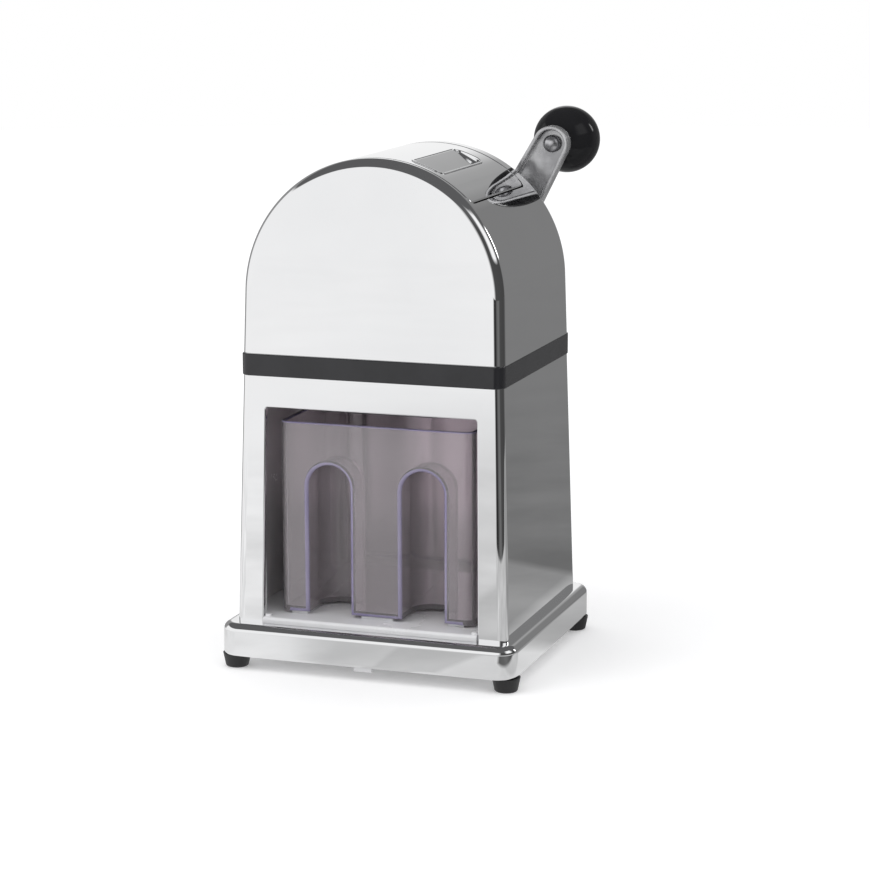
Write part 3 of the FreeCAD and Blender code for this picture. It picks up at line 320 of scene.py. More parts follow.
def carve(piece, *tools, operation="DIFFERENCE"):
    """Takes each tool's shape away from a piece, or adds it."""
    for tool in tools:
        apply(piece, "BOOLEAN", object=tool, operation=operation, solver="EXACT")
        bpy.data.objects.remove(tool)


def join(piece, *others):
    only(piece)
    for other in others:
        other.select_set(True)
    bpy.ops.object.join()
    return piece


def hull(piece, *others):
    """One convex solid round a piece and others."""
    join(piece, *others)
    pick(piece, "verts", everything)
    bpy.ops.mesh.convex_hull()
    bpy.ops.mesh.select_all(action="SELECT")
    bpy.ops.mesh.dissolve_limited(angle_limit=math.radians(0.5))
    bpy.ops.mesh.normals_make_consistent(inside=False)
    done()
    return piece


def finish(piece, body, slot, material, node):
    """Smooths a piece's curves, gives it its finish and lets it ride on its body."""
    only(piece)
    bpy.ops.object.shade_smooth_by_angle(angle=math.radians(32))
    apply(piece, "WEIGHTED_NORMAL", keep_sharp=True, weight=50)
    if not piece.data.materials:
        piece.data.materials.append(material)
    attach(piece, body)
    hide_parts(node)


# ------------------------------------------------------------------------ node helpers


def add(tree, kind, inputs=(), **settings):
    """A shader node with its settings, and each input given as a value or a socket."""
    new = tree.nodes.new(kind)
    for key, value in settings.items():
        setattr(new, key, value)
    for key, value in dict(inputs).items():
        if isinstance(value, bpy.types.NodeSocket):
            tree.links.new(value, new.inputs[key])
        else:
            new.inputs[key].default_value = value
    return new


def sum_of(tree, operation, *terms):
    """The result of one step of arithmetic."""
    return add(tree, "ShaderNodeMath", enumerate(terms), operation=operation).outputs[0]


def fade(tree, value, span, tones=(0.0, 1.0), **settings):
    """Goes from the first tone to the second as a value goes along a span."""
    return add(tree, "ShaderNodeMapRange",
               {"Value": value, "From Min": span[0], "From Max": span[1],
                "To Min": tones[0], "To Max": tones[1]}, **settings).outputs["Result"]


def swing(tree, angle, span, tones=(0.0, 1.0)):
    """The same, along a span of directions in degrees."""
    return fade(tree, angle, [math.radians(turn) for turn in span], tones)


def blend(tree, mask, first, second, **settings):
    """Two colours mixed by a mask."""
    return add(tree, "ShaderNodeMix", {0: mask, 6: first, 7: second}, data_type="RGBA",
               **settings).outputs[2]


def noise(tree, vector, size, detail):
    return add(tree, "ShaderNodeTexNoise",
               {"Vector": vector, "Scale": size, "Detail": detail}).outputs["Fac"]


# ------------------------------------------------------------------------- node groups


def group(name, inputs, output):
    """A node group with a Vector and numbers going in, and one number coming out."""
    tree = bpy.data.node_groups.new(name, "ShaderNodeTree")
    tree.interface.new_socket("Vector", in_out="INPUT", socket_type="NodeSocketVector")
    for label, value in inputs.items():
        socket = tree.interface.new_socket(label, in_out="INPUT", socket_type="NodeSocketFloat")
        socket.default_value = value
    tree.interface.new_socket(output, in_out="OUTPUT", socket_type="NodeSocketFloat")
    result = tree.nodes.new("NodeGroupOutput").inputs[output]
    return tree, tree.nodes.new("NodeGroupInput").outputs, result


def smudge_group():
    """Roughness of a wiped, polished skin: clear, with broad smudges and fine specks."""
    tree, given, result = group("smudges", {"Size": 30.0, "Clear": 0.03, "Smudged": 0.08},
                                "Roughness")
    broad = noise(tree, given["Vector"], given["Size"], 3.0)
    patch = fade(tree, broad, (0.5, 0.72), interpolation_type="SMOOTHSTEP")
    speck = sum_of(tree, "MULTIPLY", patch, noise(tree, given["Vector"], 900.0, 2.0))
    tree.links.new(fade(tree, speck, (0.0, 0.6), (given["Clear"], given["Smudged"])), result)
    return tree


def wave_group():
    """Height of the long, faint waves that a moulded wall keeps."""
    tree, given, result = group("moulded_waves", {"Size": 22.0}, "Height")
    tree.links.new(noise(tree, given["Vector"], given["Size"], 1.0), result)
    return tree


def grain_group():
    """Height of a fine moulded grain."""
    tree, given, result = group("moulded_grain", {"Size": 900.0}, "Height")
    pits = add(tree, "ShaderNodeTexVoronoi", {"Vector": given["Vector"], "Scale": given["Size"]})
    soft = noise(tree, given["Vector"], given["Size"], 4.0)
    tree.links.new(sum_of(tree, "ADD", pits.outputs["Distance"], soft), result)
    return tree


def tone_group():
    """A mask of soft, uneven patches, for small changes of tone."""
    tree, given, result = group("uneven_tone", {"Size": 40.0}, "Mask")
    patch = noise(tree, given["Vector"], given["Size"], 5.0)
    tree.links.new(fade(tree, patch, (0.35, 0.65)), result)
    return tree


def line_group():
    """Height of fine lines that run one way, as a grinding belt or a lathe leaves them."""
    tree, given, result = group("ground_lines", {"Size": 60.0, "Stretch": 30.0}, "Height")
    long = add(tree, "ShaderNodeCombineXYZ", {"X": 1.0, "Y": given["Stretch"], "Z": 1.0})
    place = add(tree, "ShaderNodeVectorMath", {0: given["Vector"], 1: long.outputs[0]},
                operation="MULTIPLY")
    tree.links.new(noise(tree, place.outputs[0], given["Size"], 6.0), result)
    return tree


SMUDGES, WAVES, GRAIN = smudge_group(), wave_group(), grain_group()
TONE, LINES = tone_group(), line_group()


# ---------------------------------------------------------------------------- finishes


def start_material(name, **shader):
    """A material with a Principled BSDF set up as given."""
    material = bpy.data.materials.new(name)
    material.use_nodes = True
    tree = material.node_tree
    surface = tree.nodes["Principled BSDF"]
    for key, value in shader.items():
        surface.inputs[key.replace("_", " ")].default_value = value
    place = add(tree, "ShaderNodeTexCoord").outputs["Object"]
    return material, tree, surface, place


def use(tree, node_group, place, **inputs):
    return add(tree, "ShaderNodeGroup", {"Vector": place, **inputs},
               node_tree=node_group).outputs[0]


def tint(tree, surface, mask, first, second):
    """The base colour between two close tones."""
    tree.links.new(blend(tree, mask, (*first, 1), (*second, 1)), surface.inputs["Base Color"])


def wipe(tree, surface, place, size, clear, smudged):
    """Gloss between clear and smudged."""
    rough = use(tree, SMUDGES, place, Size=size, Clear=clear, Smudged=smudged)
    tree.links.new(rough, surface.inputs["Roughness"])


def relief(tree, surface, height, distance, strength=1.0):
    bump = add(tree, "ShaderNodeBump", {"Height": height, "Strength": strength,
                                        "Distance": distance})
    tree.links.new(bump.outputs[0], surface.inputs["Normal"])


def moulded(name, tones, patches, smudges, texture, **shader):
    """Moulded plastic or rubber, plain, plated or clear.

    It has two tones in patches of a size, smudges of a size between two roughnesses, and a
    texture from a node group with its size, its height in metres and its strength.
    """
    material, tree, surface, place = start_material(name, **shader)
    tint(tree, surface, use(tree, TONE, place, Size=patches), *tones)
    wipe(tree, surface, place, *smudges)
    kind, size, *height = texture
    relief(tree, surface, use(tree, kind, place, Size=size), *height)
    return material


def ground_metal(name, tones, rough, stretch):
    """Bare metal with fine lines that run one way."""
    material, tree, surface, place = start_material(name, Metallic=1.0)
    lines = use(tree, LINES, place, Size=90.0, Stretch=stretch)
    tint(tree, surface, lines, *tones)
    wipe(tree, surface, place, 60.0, rough, rough + 0.15)
    relief(tree, surface, lines, 0.00003, 0.5)
    return material


CHROME = moulded(
    "bright_chrome", ((0.88, 0.885, 0.895), (0.92, 0.922, 0.93)), 12.0, (28.0, 0.02, 0.07),
    (WAVES, 24.0, 0.00004), Metallic=1.0)
INNER_CHROME = moulded(
    "dull_chrome", ((0.92, 0.92, 0.93), (0.95, 0.95, 0.96)), 15.0, (30.0, 0.10, 0.20),
    (GRAIN, 600.0, 0.00003, 0.4), Metallic=1.0)
BAY_GREY = moulded(
    "satin_grey", ((0.84, 0.85, 0.84), (0.90, 0.91, 0.90)), 25.0, (30.0, 0.16, 0.28),
    (GRAIN, 600.0, 0.00003, 0.4), Metallic=0.3)
CLOUDED = moulded(
    "clouded_chrome", ((0.42, 0.42, 0.43), (0.72, 0.72, 0.73)), 70.0, (120.0, 0.24, 0.40),
    (WAVES, 110.0, 0.0004), Metallic=0.8)
BAND_BLACK = moulded(
    "band_black", ((0.016, 0.016, 0.018), (0.0208, 0.0208, 0.0234)), 60.0, (45.0, 0.16, 0.26),
    (GRAIN, 700.0, 0.00001, 0.3), Specular_IOR_Level=0.5)
KNOB_BLACK = moulded(
    "knob_black", ((0.012, 0.012, 0.013), (0.0156, 0.0156, 0.0169)), 60.0, (45.0, 0.07, 0.17),
    (GRAIN, 700.0, 0.00001, 0.3), Specular_IOR_Level=0.16)
DARK = moulded(
    "dark_moulding", ((0.055, 0.055, 0.06), (0.075, 0.075, 0.08)), 50.0, (40.0, 0.42, 0.54),
    (GRAIN, 1100.0, 0.00006, 0.6))
PALE = moulded(
    "pale_moulding", ((0.78, 0.78, 0.79), (0.84, 0.84, 0.85)), 50.0, (40.0, 0.24, 0.36),
    (GRAIN, 1100.0, 0.00002, 0.6))
RUBBER = moulded(
    "foot_rubber", ((0.012, 0.012, 0.013), (0.022, 0.022, 0.023)), 50.0, (40.0, 0.50, 0.62),
    (GRAIN, 1100.0, 0.00009, 0.6))
CLEAR = moulded(
    "smoky_clear", ((0.985, 0.92, 0.955), (0.995, 0.94, 0.975)), 20.0, (35.0, 0.03, 0.08),
    (WAVES, 40.0, 0.00006), Transmission_Weight=0.85, IOR=1.49)
# painted edge tint: a deeper violet, less clear finish standing in for the colour light takes up
# through the clear edges
CLEAR_PAINTED_EDGE = moulded(
    "clear_painted_edge", ((0.50, 0.44, 0.76), (0.74, 0.68, 0.94)), 20.0, (35.0, 0.08, 0.13),
    (WAVES, 40.0, 0.00006), Transmission_Weight=0.60, IOR=1.49)
FASTENER = ground_metal(
    "fastener_steel", ((0.55, 0.55, 0.57), (0.68, 0.68, 0.70)), rough=0.24, stretch=6.0)
ROTOR_STEEL = ground_metal(
    "rotor_steel", ((0.46, 0.47, 0.49), (0.60, 0.61, 0.63)), rough=0.28, stretch=30.0)
BRASS = ground_metal(
    "bush_brass", ((0.66, 0.50, 0.24), (0.78, 0.62, 0.32)), rough=0.26, stretch=12.0)


# ---------------------------------------------------------------------- plated housing


def bearing_hole():
    return rod("bearing", "y", (0, SHAFT_Z), (44, 60), BEARING_RADIUS)


def tie_posts(low, high):
    """Four round posts for the screws that tie the shells together."""
    return [rod("tie_post", "z", (x * TIE_X, y * TIE_Y), (low, high), TIE_RADIUS, sides=32)
            for x in (-1, 1) for y in (-1, 1)]


def make_upper_housing():
    """The arched shell: leaning sides and faces, rounded rims, and the opening for the lid."""
    shoulder_z = ARCH_Z + ARCH_RADIUS * math.sin(SIDE_TILT)
    shoulder_x = ARCH_RADIUS * math.cos(SIDE_TILT)
    shell = rod("arch_shell", "y", (0, ARCH_Z), (-ARCH_BLANK, ARCH_BLANK), ARCH_RADIUS,
                sides=256)
    slice_off(shell, (0, 0, shoulder_z), (0, 0, -1))
    pick(shell, "faces", facing(0, 0, -1))
    push(0, 0, BAND_TOP - shoulder_z)
    stretch((UPPER_FOOT / shoulder_x, 1, 1), 0, 0, BAND_TOP)
    done()
    lean = math.cos(FACE_TILT), math.sin(FACE_TILT)
    for side in (-1, 1):
        slice_off(shell, (0, side * UPPER_DEPTH, BAND_TOP), (0, side * lean[0], lean[1]))

    def rim(edge):
        spot = middle(edge)
        face_y = UPPER_DEPTH - (spot.z - BAND_TOP) * math.tan(FACE_TILT)
        return close(abs(spot.y), face_y) and spot.z > BAND_TOP + 0.01

    round_off(shell, RIM_RADIUS, 12, rim)
    remove_faces(shell, lambda face: facing(0, 0, -1)(face) and middle(face).z < BAND_TOP + 0.1)
    thicken(shell)
    free_side, above = LID_X + LID_FREE_GAP, HINGE_Z + ARCH_RADIUS
    opening = block("opening", (HINGE_X - BARREL_ROOM, LID_FRONT - LID_GAP, ARCH_Z + 36),
                    (free_side, LID_REAR + LID_GAP, above))
    round_off(opening, LID_CORNER + LID_GAP, 8,
              lambda edge: close(middle(edge).x, free_side) and rising(edge))
    carve(shell, opening, bearing_hole())
    join(shell, *tie_posts(BAND_TOP, BAND_TOP + TIE_BOSS))
    finish(shell, "housing", "chrome", CHROME, "upper_housing")


def make_lower_housing():
    """The drafted lower shell with its open front."""
    shell = block("lower_shell", (-SKIRT[0], -SKIRT[1], PLINTH_TOP), (*SKIRT, BAND_BOTTOM))
    pick(shell, "verts", at_height(BAND_BOTTOM))
    stretch((LOWER_TOP[0] / SKIRT[0], LOWER_TOP[1] / SKIRT[1], 1), 0, 0, BAND_BOTTOM)
    done()
    round_off(shell, LOWER_CORNER, 10, rising)
    remove_faces(shell, lambda face: abs(face.normal.z) > 0.99)
    for material in (CHROME, INNER_CHROME, BAY_GREY):
        shell.data.materials.append(material)
    thicken(shell, inner_slot=1)
    for face in shell.data.polygons:
        if face.material_index == 1 and abs(face.normal.x) > 0.9:
            face.material_index = 2
    top = PLINTH_TOP + MOUTH_HEIGHT
    mouth = block("mouth", (-MOUTH_FOOT, -70, PLINTH_TOP), (MOUTH_FOOT, -50, top))
    pick(mouth, "verts", at_height(top))
    stretch((MOUTH_TOP / MOUTH_FOOT, 1, 1), 0, 0, top)
    done()
    pick(mouth, "verts", at_height(PLINTH_TOP))
    bpy.ops.transform.translate(value=(0, 0, -2 * MM))
    done()
    round_off(mouth, MOUTH_CORNER, 5, lambda edge: close(middle(edge).z, top)
              and close(edge.verts[0].co.x, edge.verts[1].co.x, 1e-6))
    carve(shell, mouth, bearing_hole())

    def mouth_edge(edge):
        spot = middle(edge)
        return (spot.y < -50 and abs(spot.x) < MOUTH_FOOT + 0.2
                and PLINTH_TOP + 0.1 < spot.z < top + 0.1 and corner_angle(edge) > 50)

    round_off(shell, MOUTH_LIP, 4, mouth_edge)
    join(shell, *tie_posts(PLINTH_TOP + WALL, BAND_BOTTOM))
    finish(shell, "housing", "chrome", CHROME, "lower_housing")


def make_plinth():
    """The plated base moulding, hollow below."""
    plinth = block("plinth_moulding", (-PLINTH[0], -PLINTH[1], PLINTH_BOTTOM),
                   (*PLINTH, PLINTH_TOP))
    round_off(plinth, PLINTH_CORNER, 16, rising)
    round_off(plinth, PLINTH_SHOULDER, 10, lying_at(PLINTH_TOP))
    round_off(plinth, PLINTH_HEM, 5, lying_at(PLINTH_BOTTOM))
    pick(plinth, "faces", facing(0, 0, -1))
    sink(PLINTH_RIM, 0, 0, PLINTH_TOP - PLINTH_BOTTOM - WALL)
    done()
    finish(plinth, "housing", "chrome", CHROME, "plinth")


def remake(name, node, width, wanted, *finishing):
    """A welded copy of a CAD piece with the wanted edges softened."""
    bpy.ops.object.select_all(action="DESELECT")
    copy = frame["nodes"][node].copy()
    copy.data = copy.data.copy()
    copy.parent = None
    for key in list(copy.keys()):
        del copy[key]
    copy.name = copy.data.name = name
    copy.data.materials.clear()
    bpy.context.scene.collection.objects.link(copy)
    pick(copy, "verts", everything)
    bpy.ops.mesh.remove_doubles(threshold=0.000002)
    bpy.ops.mesh.dissolve_limited(angle_limit=math.radians(0.3))
    done()
    round_off(copy, width, 3, wanted)
    finish(copy, *finishing, node)


def make_band():
    """The black band, with its top and bottom edges softened."""

    def outer_edge(edge):
        spot = middle(edge)
        level = close(spot.z, BAND_BOTTOM) or close(spot.z, BAND_TOP)
        outside = abs(spot.x) > BAND_INSIDE[0] or abs(spot.y) > BAND_INSIDE[1]
        return level and outside and corner_angle(edge) > 60

    remake("black_band", "middle_band", BAND_EDGE, outer_edge, "housing", "black_moulding",
           BAND_BLACK)


def make_feet():
    """Four tapered rubber feet with a rounded tread and a screw recess."""
    for end, y in (("front", -FOOT_Y), ("rear", FOOT_Y)):
        for side, x in (("left", -FOOT_X), ("right", FOOT_X)):
            foot = rod(f"rubber_foot_{end}_{side}", "z", (x, y), (0, FOOT_HEIGHT), FOOT_TREAD,
                       tip=FOOT_HEAD)
            pick(foot, "faces", facing(0, 0, -1))
            sink(FOOT_RIM, 0, 0, FOOT_RECESS)
            done()
            round_off(foot, FOOT_EDGE, 5, sharp_at("z", 0, least=40, reach=0.1))
            finish(foot, "housing", "foot_rubber", RUBBER, f"foot_{end}_{side}")


# --------------------------------------------------------------------------------- lid


def curl(piece):
    """Bends a piece that was made flat round the arch. Its sideways size becomes arc length."""
    for vert in piece.data.vertices:
        angle = vert.co.x / (ARCH_RADIUS * MM)
        radius = vert.co.z + ARCH_RADIUS * MM
        vert.co.x = radius * math.sin(angle)
        vert.co.z = ARCH_Z * MM + radius * math.cos(angle)
    piece.data.update()


def level_dish(lid):
    """Makes the floor of the dish flat across the arch, while the lid itself is still flat."""

    def drop(x):
        return x * x / (2 * ARCH_RADIUS) - DISH_LEAN * x

    level = drop((DISH_FROM + DISH_TO) / 2)
    for vert in lid.data.vertices:
        x, y, depth = vert.co.x / MM, vert.co.y / MM - MIDDLE_Y, -vert.co.z / MM
        if (DISH_FROM < x < DISH_TO and DISH_FRONT < y < DISH_REAR
                and 0.02 < depth < LID_THICKNESS - 0.4):
            vert.co.z += (drop(x) - level) * min(1, depth / DISH_DEPTH) * MM
    lid.data.update()


def make_bead():
    """The low bead round the dish, as a block with rounded edges."""
    bead = block("bead", (DISH_FROM - BEAD_WIDTH, DISH_FRONT - BEAD_WIDTH, -0.5),
                 (DISH_TO + BEAD_WIDTH, DISH_REAR + BEAD_WIDTH, BEAD_HEIGHT))
    round_off(bead, DISH_CORNER + BEAD_WIDTH, 8, rising)
    round_off(bead, BEAD_EDGE, 3, lying_at(BEAD_HEIGHT))
    return bead


def make_dish():
    """The hollow of the dish, with drafted walls, as a solid."""
    dish = block("dish", (DISH_FROM, DISH_FRONT, -DISH_DEPTH), (DISH_TO, DISH_REAR, 1))
    round_off(dish, DISH_CORNER, 8, rising)
    pick(dish, "verts", at_height(-DISH_DEPTH))
    wide, long = DISH_TO - DISH_FROM, DISH_REAR - DISH_FRONT
    stretch((1 - 2 * DISH_DRAFT / wide, 1 - 2 * DISH_DRAFT / long, 1),
            (DISH_FROM + DISH_TO) / 2, (DISH_FRONT + DISH_REAR) / 2, -DISH_DEPTH)
    done()
    round_off(dish, DISH_HEEL, 4, lying_at(-DISH_DEPTH))
    return dish


def make_lid():
    """The curved lid with its rounded border, hinge barrel and finger dish."""
    reach = ARCH_RADIUS * math.radians(LID_ANGLE)
    lid = block("arched_lid", (-reach, LID_FRONT, -LID_THICKNESS), (reach, LID_REAR, 0))
    round_off(lid, LID_CORNER, 10, lambda edge: middle(edge).x > reach - 1 and rising(edge))
    round_off(lid, LID_EDGE, 4, lying_at(0))
    carve(lid, make_bead(), operation="UNION")
    carve(lid, make_dish())

    def dish_rim(edge):
        spot = middle(edge)
        return (close(spot.z, BEAD_HEIGHT, 1e-3) and DISH_FROM - 0.1 < spot.x < DISH_TO + 0.1
                and DISH_FRONT - 0.1 < spot.y < DISH_REAR + 0.1 and corner_angle(edge) > 50)

    round_off(lid, DISH_LIP, 3, dish_rim)
    for degree in range(-LID_ANGLE + 1, LID_ANGLE):
        pick(lid, "faces", everything)
        bpy.ops.mesh.bisect(plane_co=at(ARCH_RADIUS * math.radians(degree), 0, 0),
                            plane_no=(1, 0, 0))
        done()
    level_dish(lid)
    curl(lid)
    join(lid, rod("lid_barrel", "y", (HINGE_X, HINGE_Z), (LID_FRONT, LID_REAR), BARREL_RADIUS,
                  sides=32))
    finish(lid, "lid", "chrome", CHROME, "lid")


# ------------------------------------------------------------------------------- crank


def lean_over(piece):
    """Turns an upright crank piece to the crank's angle about the shaft."""
    pivot = at(0, 0, SHAFT_Z)
    for vert in piece.data.vertices:
        across, up = vert.co.x - pivot.x, vert.co.z - pivot.z
        vert.co.x = pivot.x + across * math.cos(CRANK_ANGLE) + up * math.sin(CRANK_ANGLE)
        vert.co.z = pivot.z - across * math.sin(CRANK_ANGLE) + up * math.cos(CRANK_ANGLE)
    piece.data.update()


def make_ring(tip_z):
    """The ring round the rivet, open to the front."""
    ring = rod("rivet_ring", "y", (0, tip_z), (RING_FRONT, ARM_FLOOR + ROOTED), RING_RADIUS)
    pick(ring, "faces", facing(0, -1, 0))
    sink(RING_WALL, 0, RING_DEPTH, 0)
    done()
    round_off(ring, 0.5, 4, sharp_at("y", RING_FRONT))
    return ring


def make_arm():
    """The crank arm: a tapered channel with a hub and the rivet's ring."""
    tip_z = SHAFT_Z + CRANK_LENGTH
    arm = hull(rod("crank_channel", "y", (0, SHAFT_Z), (ARM_FRONT, ARM_BACK), ARM_FOOT,
                   sides=96),
               rod("tip", "y", (0, tip_z), (ARM_FRONT, ARM_BACK), ARM_TIP, sides=96))
    pick(arm, "faces", facing(0, -1, 0))
    sink(ARM_WALL, 0, ARM_FLOOR - ARM_FRONT, 0)
    done()
    for place, radius, segments in ((ARM_BACK, 0.9, 5), (ARM_FRONT, 0.5, 4),
                                    (ARM_FLOOR, 0.7, 4)):
        round_off(arm, radius, segments, sharp_at("y", place))
    hub_front = front_of("crank_arm")
    hub = rod("hub", "y", (0, SHAFT_Z), (hub_front, ARM_FLOOR + ROOTED), HUB_RADIUS)
    hole = block("hole", (-HUB_HOLE, hub_front - 3, SHAFT_Z - HUB_HOLE),
                 (HUB_HOLE, ARM_BACK + 3, SHAFT_Z + HUB_HOLE))
    join(arm, make_ring(tip_z))
    carve(arm, hub, operation="UNION")
    carve(arm, hole)
    lean_over(arm)
    finish(arm, "crank", "chrome", CLOUDED, "crank_arm")


def make_rivet():
    """The knob's pin, with a domed head in the ring and a flat head inside the ball."""
    rivet = globe("knob_rivet", "y", (KNOB_X, RIVET_SEAT, KNOB_Z), RIVET_RADIUS, segments=48)
    slice_off(rivet, (0, RIVET_SEAT, 0), (0, 1, 0))
    pick(rivet, "verts", everything)
    stretch((1, RIVET_DOME, 1), KNOB_X, RIVET_SEAT, KNOB_Z)
    done()
    pin = rod("pin", "y", (KNOB_X, KNOB_Z), (RIVET_SEAT, HEAD_FROM + ROOTED), PIN_RADIUS,
              sides=32)
    head = rod("head", "y", (KNOB_X, KNOB_Z), (HEAD_FROM, HEAD_TO), HEAD_RADIUS, sides=48)
    round_off(head, HEAD_EDGE, 4, sharp_at("y", HEAD_TO))
    finish(join(rivet, pin, head), "crank", "fastener_steel", FASTENER, "knob_spindle")


def make_knob():
    """The ball knob with its short neck."""
    ball = globe("ball_knob", "y", (KNOB_X, BALL_Y, KNOB_Z), KNOB_RADIUS, segments=96)
    front = front_of("knob")

    def cap(face):
        spot = middle(face)
        return (spot.y < BALL_Y
                and math.hypot(spot.x - KNOB_X, spot.z - KNOB_Z) < NECK_RADIUS)

    pick(ball, "faces", cap)
    push(0, -3, 0)
    stretch((NECK_TAPER, 0, NECK_TAPER), KNOB_X, front, KNOB_Z)
    sink(NECK_WALL, 0, NECK_BORE, 0)
    done()
    round_off(ball, 0.6, 4, sharp_at("y", front))
    carve(ball, rod("recess", "y", (KNOB_X, KNOB_Z), (RECESS_FLOOR, RECESS_FLOOR + 20),
                    RECESS_RADIUS))
    round_off(ball, 0.5, 4, lambda edge: middle(edge).y > 100 and corner_angle(edge) > 50)
    finish(ball, "knob", "knob_black", KNOB_BLACK, "knob")


# ------------------------------------------------------------------------------ drawer


def flute(name, x, radius, front, bottom):
    """The solid of one finger flute: an upright U with a domed top."""
    dome = globe(name, "z", (x, FLUTE_MIDDLE, FLUTE_SPRING), radius, segments=48)
    arch = rod("arch", "y", (x, FLUTE_SPRING), (front, FLUTE_MIDDLE), radius, sides=48)
    column = rod("column", "z", (x, FLUTE_MIDDLE), (bottom, FLUTE_SPRING), radius, sides=48)
    throat = block("throat", (x - radius, front, bottom),
                   (x + radius, FLUTE_MIDDLE, FLUTE_SPRING))
    return hull(dome, arch, column, throat)


def make_drawer():
    """The clear drawer with two finger flutes pressed into its front."""
    tub = block("clear_drawer", (-DRAWER_X, DRAWER_FRONT, DRAWER_BOTTOM),
                (DRAWER_X, DRAWER_REAR, DRAWER_TOP))
    round_off(tub, DRAWER_CORNER, 8, rising)
    pick(tub, "faces", facing(0, 0, 1))
    sink(DRAWER_WALL, 0, 0, DRAWER_BOTTOM + DRAWER_WALL - DRAWER_TOP)
    done()
    for x in (-FLUTE_X, FLUTE_X):
        carve(tub, flute("outer", x, FLUTE_RADIUS + DRAWER_WALL, DRAWER_FRONT + 1,
                         DRAWER_BOTTOM + 1), operation="UNION")
        carve(tub, flute("inner", x, FLUTE_RADIUS, DRAWER_FRONT - 2, DRAWER_BOTTOM - 2))
    for material in (CLEAR, CLEAR_PAINTED_EDGE):
        tub.data.materials.append(material)

    def lip(edge):
        return sharp_at("y", DRAWER_FRONT, least=50)(edge) and middle(edge).z < DRAWER_TOP - 1

    def heel(edge):
        spot = middle(edge)
        return close(spot.z, DRAWER_BOTTOM) and close(spot.y, DRAWER_REAR)

    # the lips, rim and heel get the painted edge tint
    round_off(tub, DRAWER_LIP, 5, lip, slot=1)
    round_off(tub, DRAWER_RIM, 3, sharp_at("z", DRAWER_TOP), slot=1)
    round_off(tub, DRAWER_HEEL, 4, heel, slot=1)
    finish(tub, "drawer", "clear_moulding", CLEAR, "ice_drawer")


# --------------------------------------------------------------------- kept CAD pieces


def dress_works():
    """Welds the works and small pieces, breaks their sharp edges and gives them a finish."""
    finishes = {
        ("dark_moulding", DARK): ["crush_chamber", "ice_chute"],
        # the base cover takes the pale finish so that its lug under the front edge looks light: a
        # painted reflection of the floor
        ("pale_moulding", PALE): ["base_cover", "floor_plate"],
        ("fastener_steel", FASTENER): ["foot_screws", "cover_screws", "housing_screws",
                                       "chamber_screws", "comb_screws", "crank_screw",
                                       "knob_washer", "shaft_clip", "lid_hinge_pin"],
        ("rotor_steel", ROTOR_STEEL): ["comb_blade", "rotor_shaft",
                                       *[f"rotor_blade_{k}" for k in range(1, 6)],
                                       *[f"rotor_spacer_{k}" for k in range(1, 7)]],
        ("bush_brass", BRASS): ["front_bush", "rear_bush"],
    }
    owner = {name: body for body, names in frame["record"]["behaviour"]["bodies"].items()
             for name in names}
    for (slot, material), names in finishes.items():
        for name in names:
            remake(f"finished_{name}", name, WORKS_EDGE, lambda edge: corner_angle(edge) > 50,
                   owner[name], slot, material)


# ------------------------------------------------------------------------------ studio


# how bright the studio is, by direction in degrees from the front: at the left and the rear,
# then past the right corner, high up and low down; the floor's painted reflection reuses these
# tones
LEFT_WALLS = ((-180, 0.35), (-176, 0.38), (-172, 0.60), (-167, 0.93), (-157, 0.93),
              (-150, 0.28), (-106, 0.28), (-98, 0.93))
REAR_WALLS = (124, 0.21), (170, 0.21), (177, 0.34)
HIGH_CORNER = (8, 0.93), (24, 0.07), (112, 0.06)
LOW_CORNER = ((-3, 0.93), (7, 0.03), (20, 0.03), (31, 0.13), (46, 0.17), (60, 0.07),
              (100, 0.06), (112, 0.10))
# each lit window: its direction, half width and blur in degrees, its low and high end, and
# how bright it is
WINDOWS = ((76, 20, 8.0, 0.30, 0.75), 1.0), ((128, 3.0, 1.5, 0.26, 0.50), 8.0)
CEILING, CEILING_TONE = (0.50, 0.56), (0.11, 0.11, 0.112, 1)
SOFT_LIGHT, WHITE = (0.92, 0.92, 0.93, 1), (1, 1, 1, 1)

# the reflection painted on the floor, which polished faces alone see: a bright sheet in front,
# painted shade near the shaver and a painted grey behind it. In degrees and in metres from the
# middle
RIGHT_SIDE = 82, 98                 # where the front turns into the right side
PAINTED_SHEET_TONES, SHEET_REACH = (0.62, 0.35), (0.46, 0.75)
SHEET_LEFT_END = -106, -98
SHEET_SLANT, SHEET_START = (-0.48, 0.875, 0), (0.090, 0.078)
HEM_FADE, PAINTED_HEM_TONE = (0.106, 0.098), 0.17
GAP_TURN, GAP_SPREAD = 50, (20, 26)         # a dark gap painted in the sheet, past the right corner
GAP_REACH, GAP_FADE = 0.170, (0.010, 0.018)
# painted grey behind the shaver, random clouding painted deeper near it, and painted shade in front
# of it
REAR_TURN, REAR_REACH, PAINTED_REAR_SHADE = (156, 168), (0.45, 0.20), (0.5, 0.5, 0.5, 1)
CLOUD_REACH, CLOUD_AND_SHADE_TONES = (0.35, 0.85), (0.74, 0.98)
DUSK_TURN, PAINTED_DUSK_SHADE, DAWN_TURN = (-23, -14), (1.02, 0.80), (5, 15)
EVEN_REACH = 0.7, 1.2
FLOOR_TONES = (0.93, 0.93, 0.93), (0.95, 0.95, 0.95)
FLOOR_LIFT = 0.2

LAMP_PLACE, LAMP_AIM = (-0.9, -1.0, 1.9), Vector((0, 0, 0.1))
CAMERA_PLACE = 0.431798, -1.237771, 0.365375
CAMERA_TURN = 78.65697, 0.13432, 18.92905
CAMERA_LENS = 112.46069


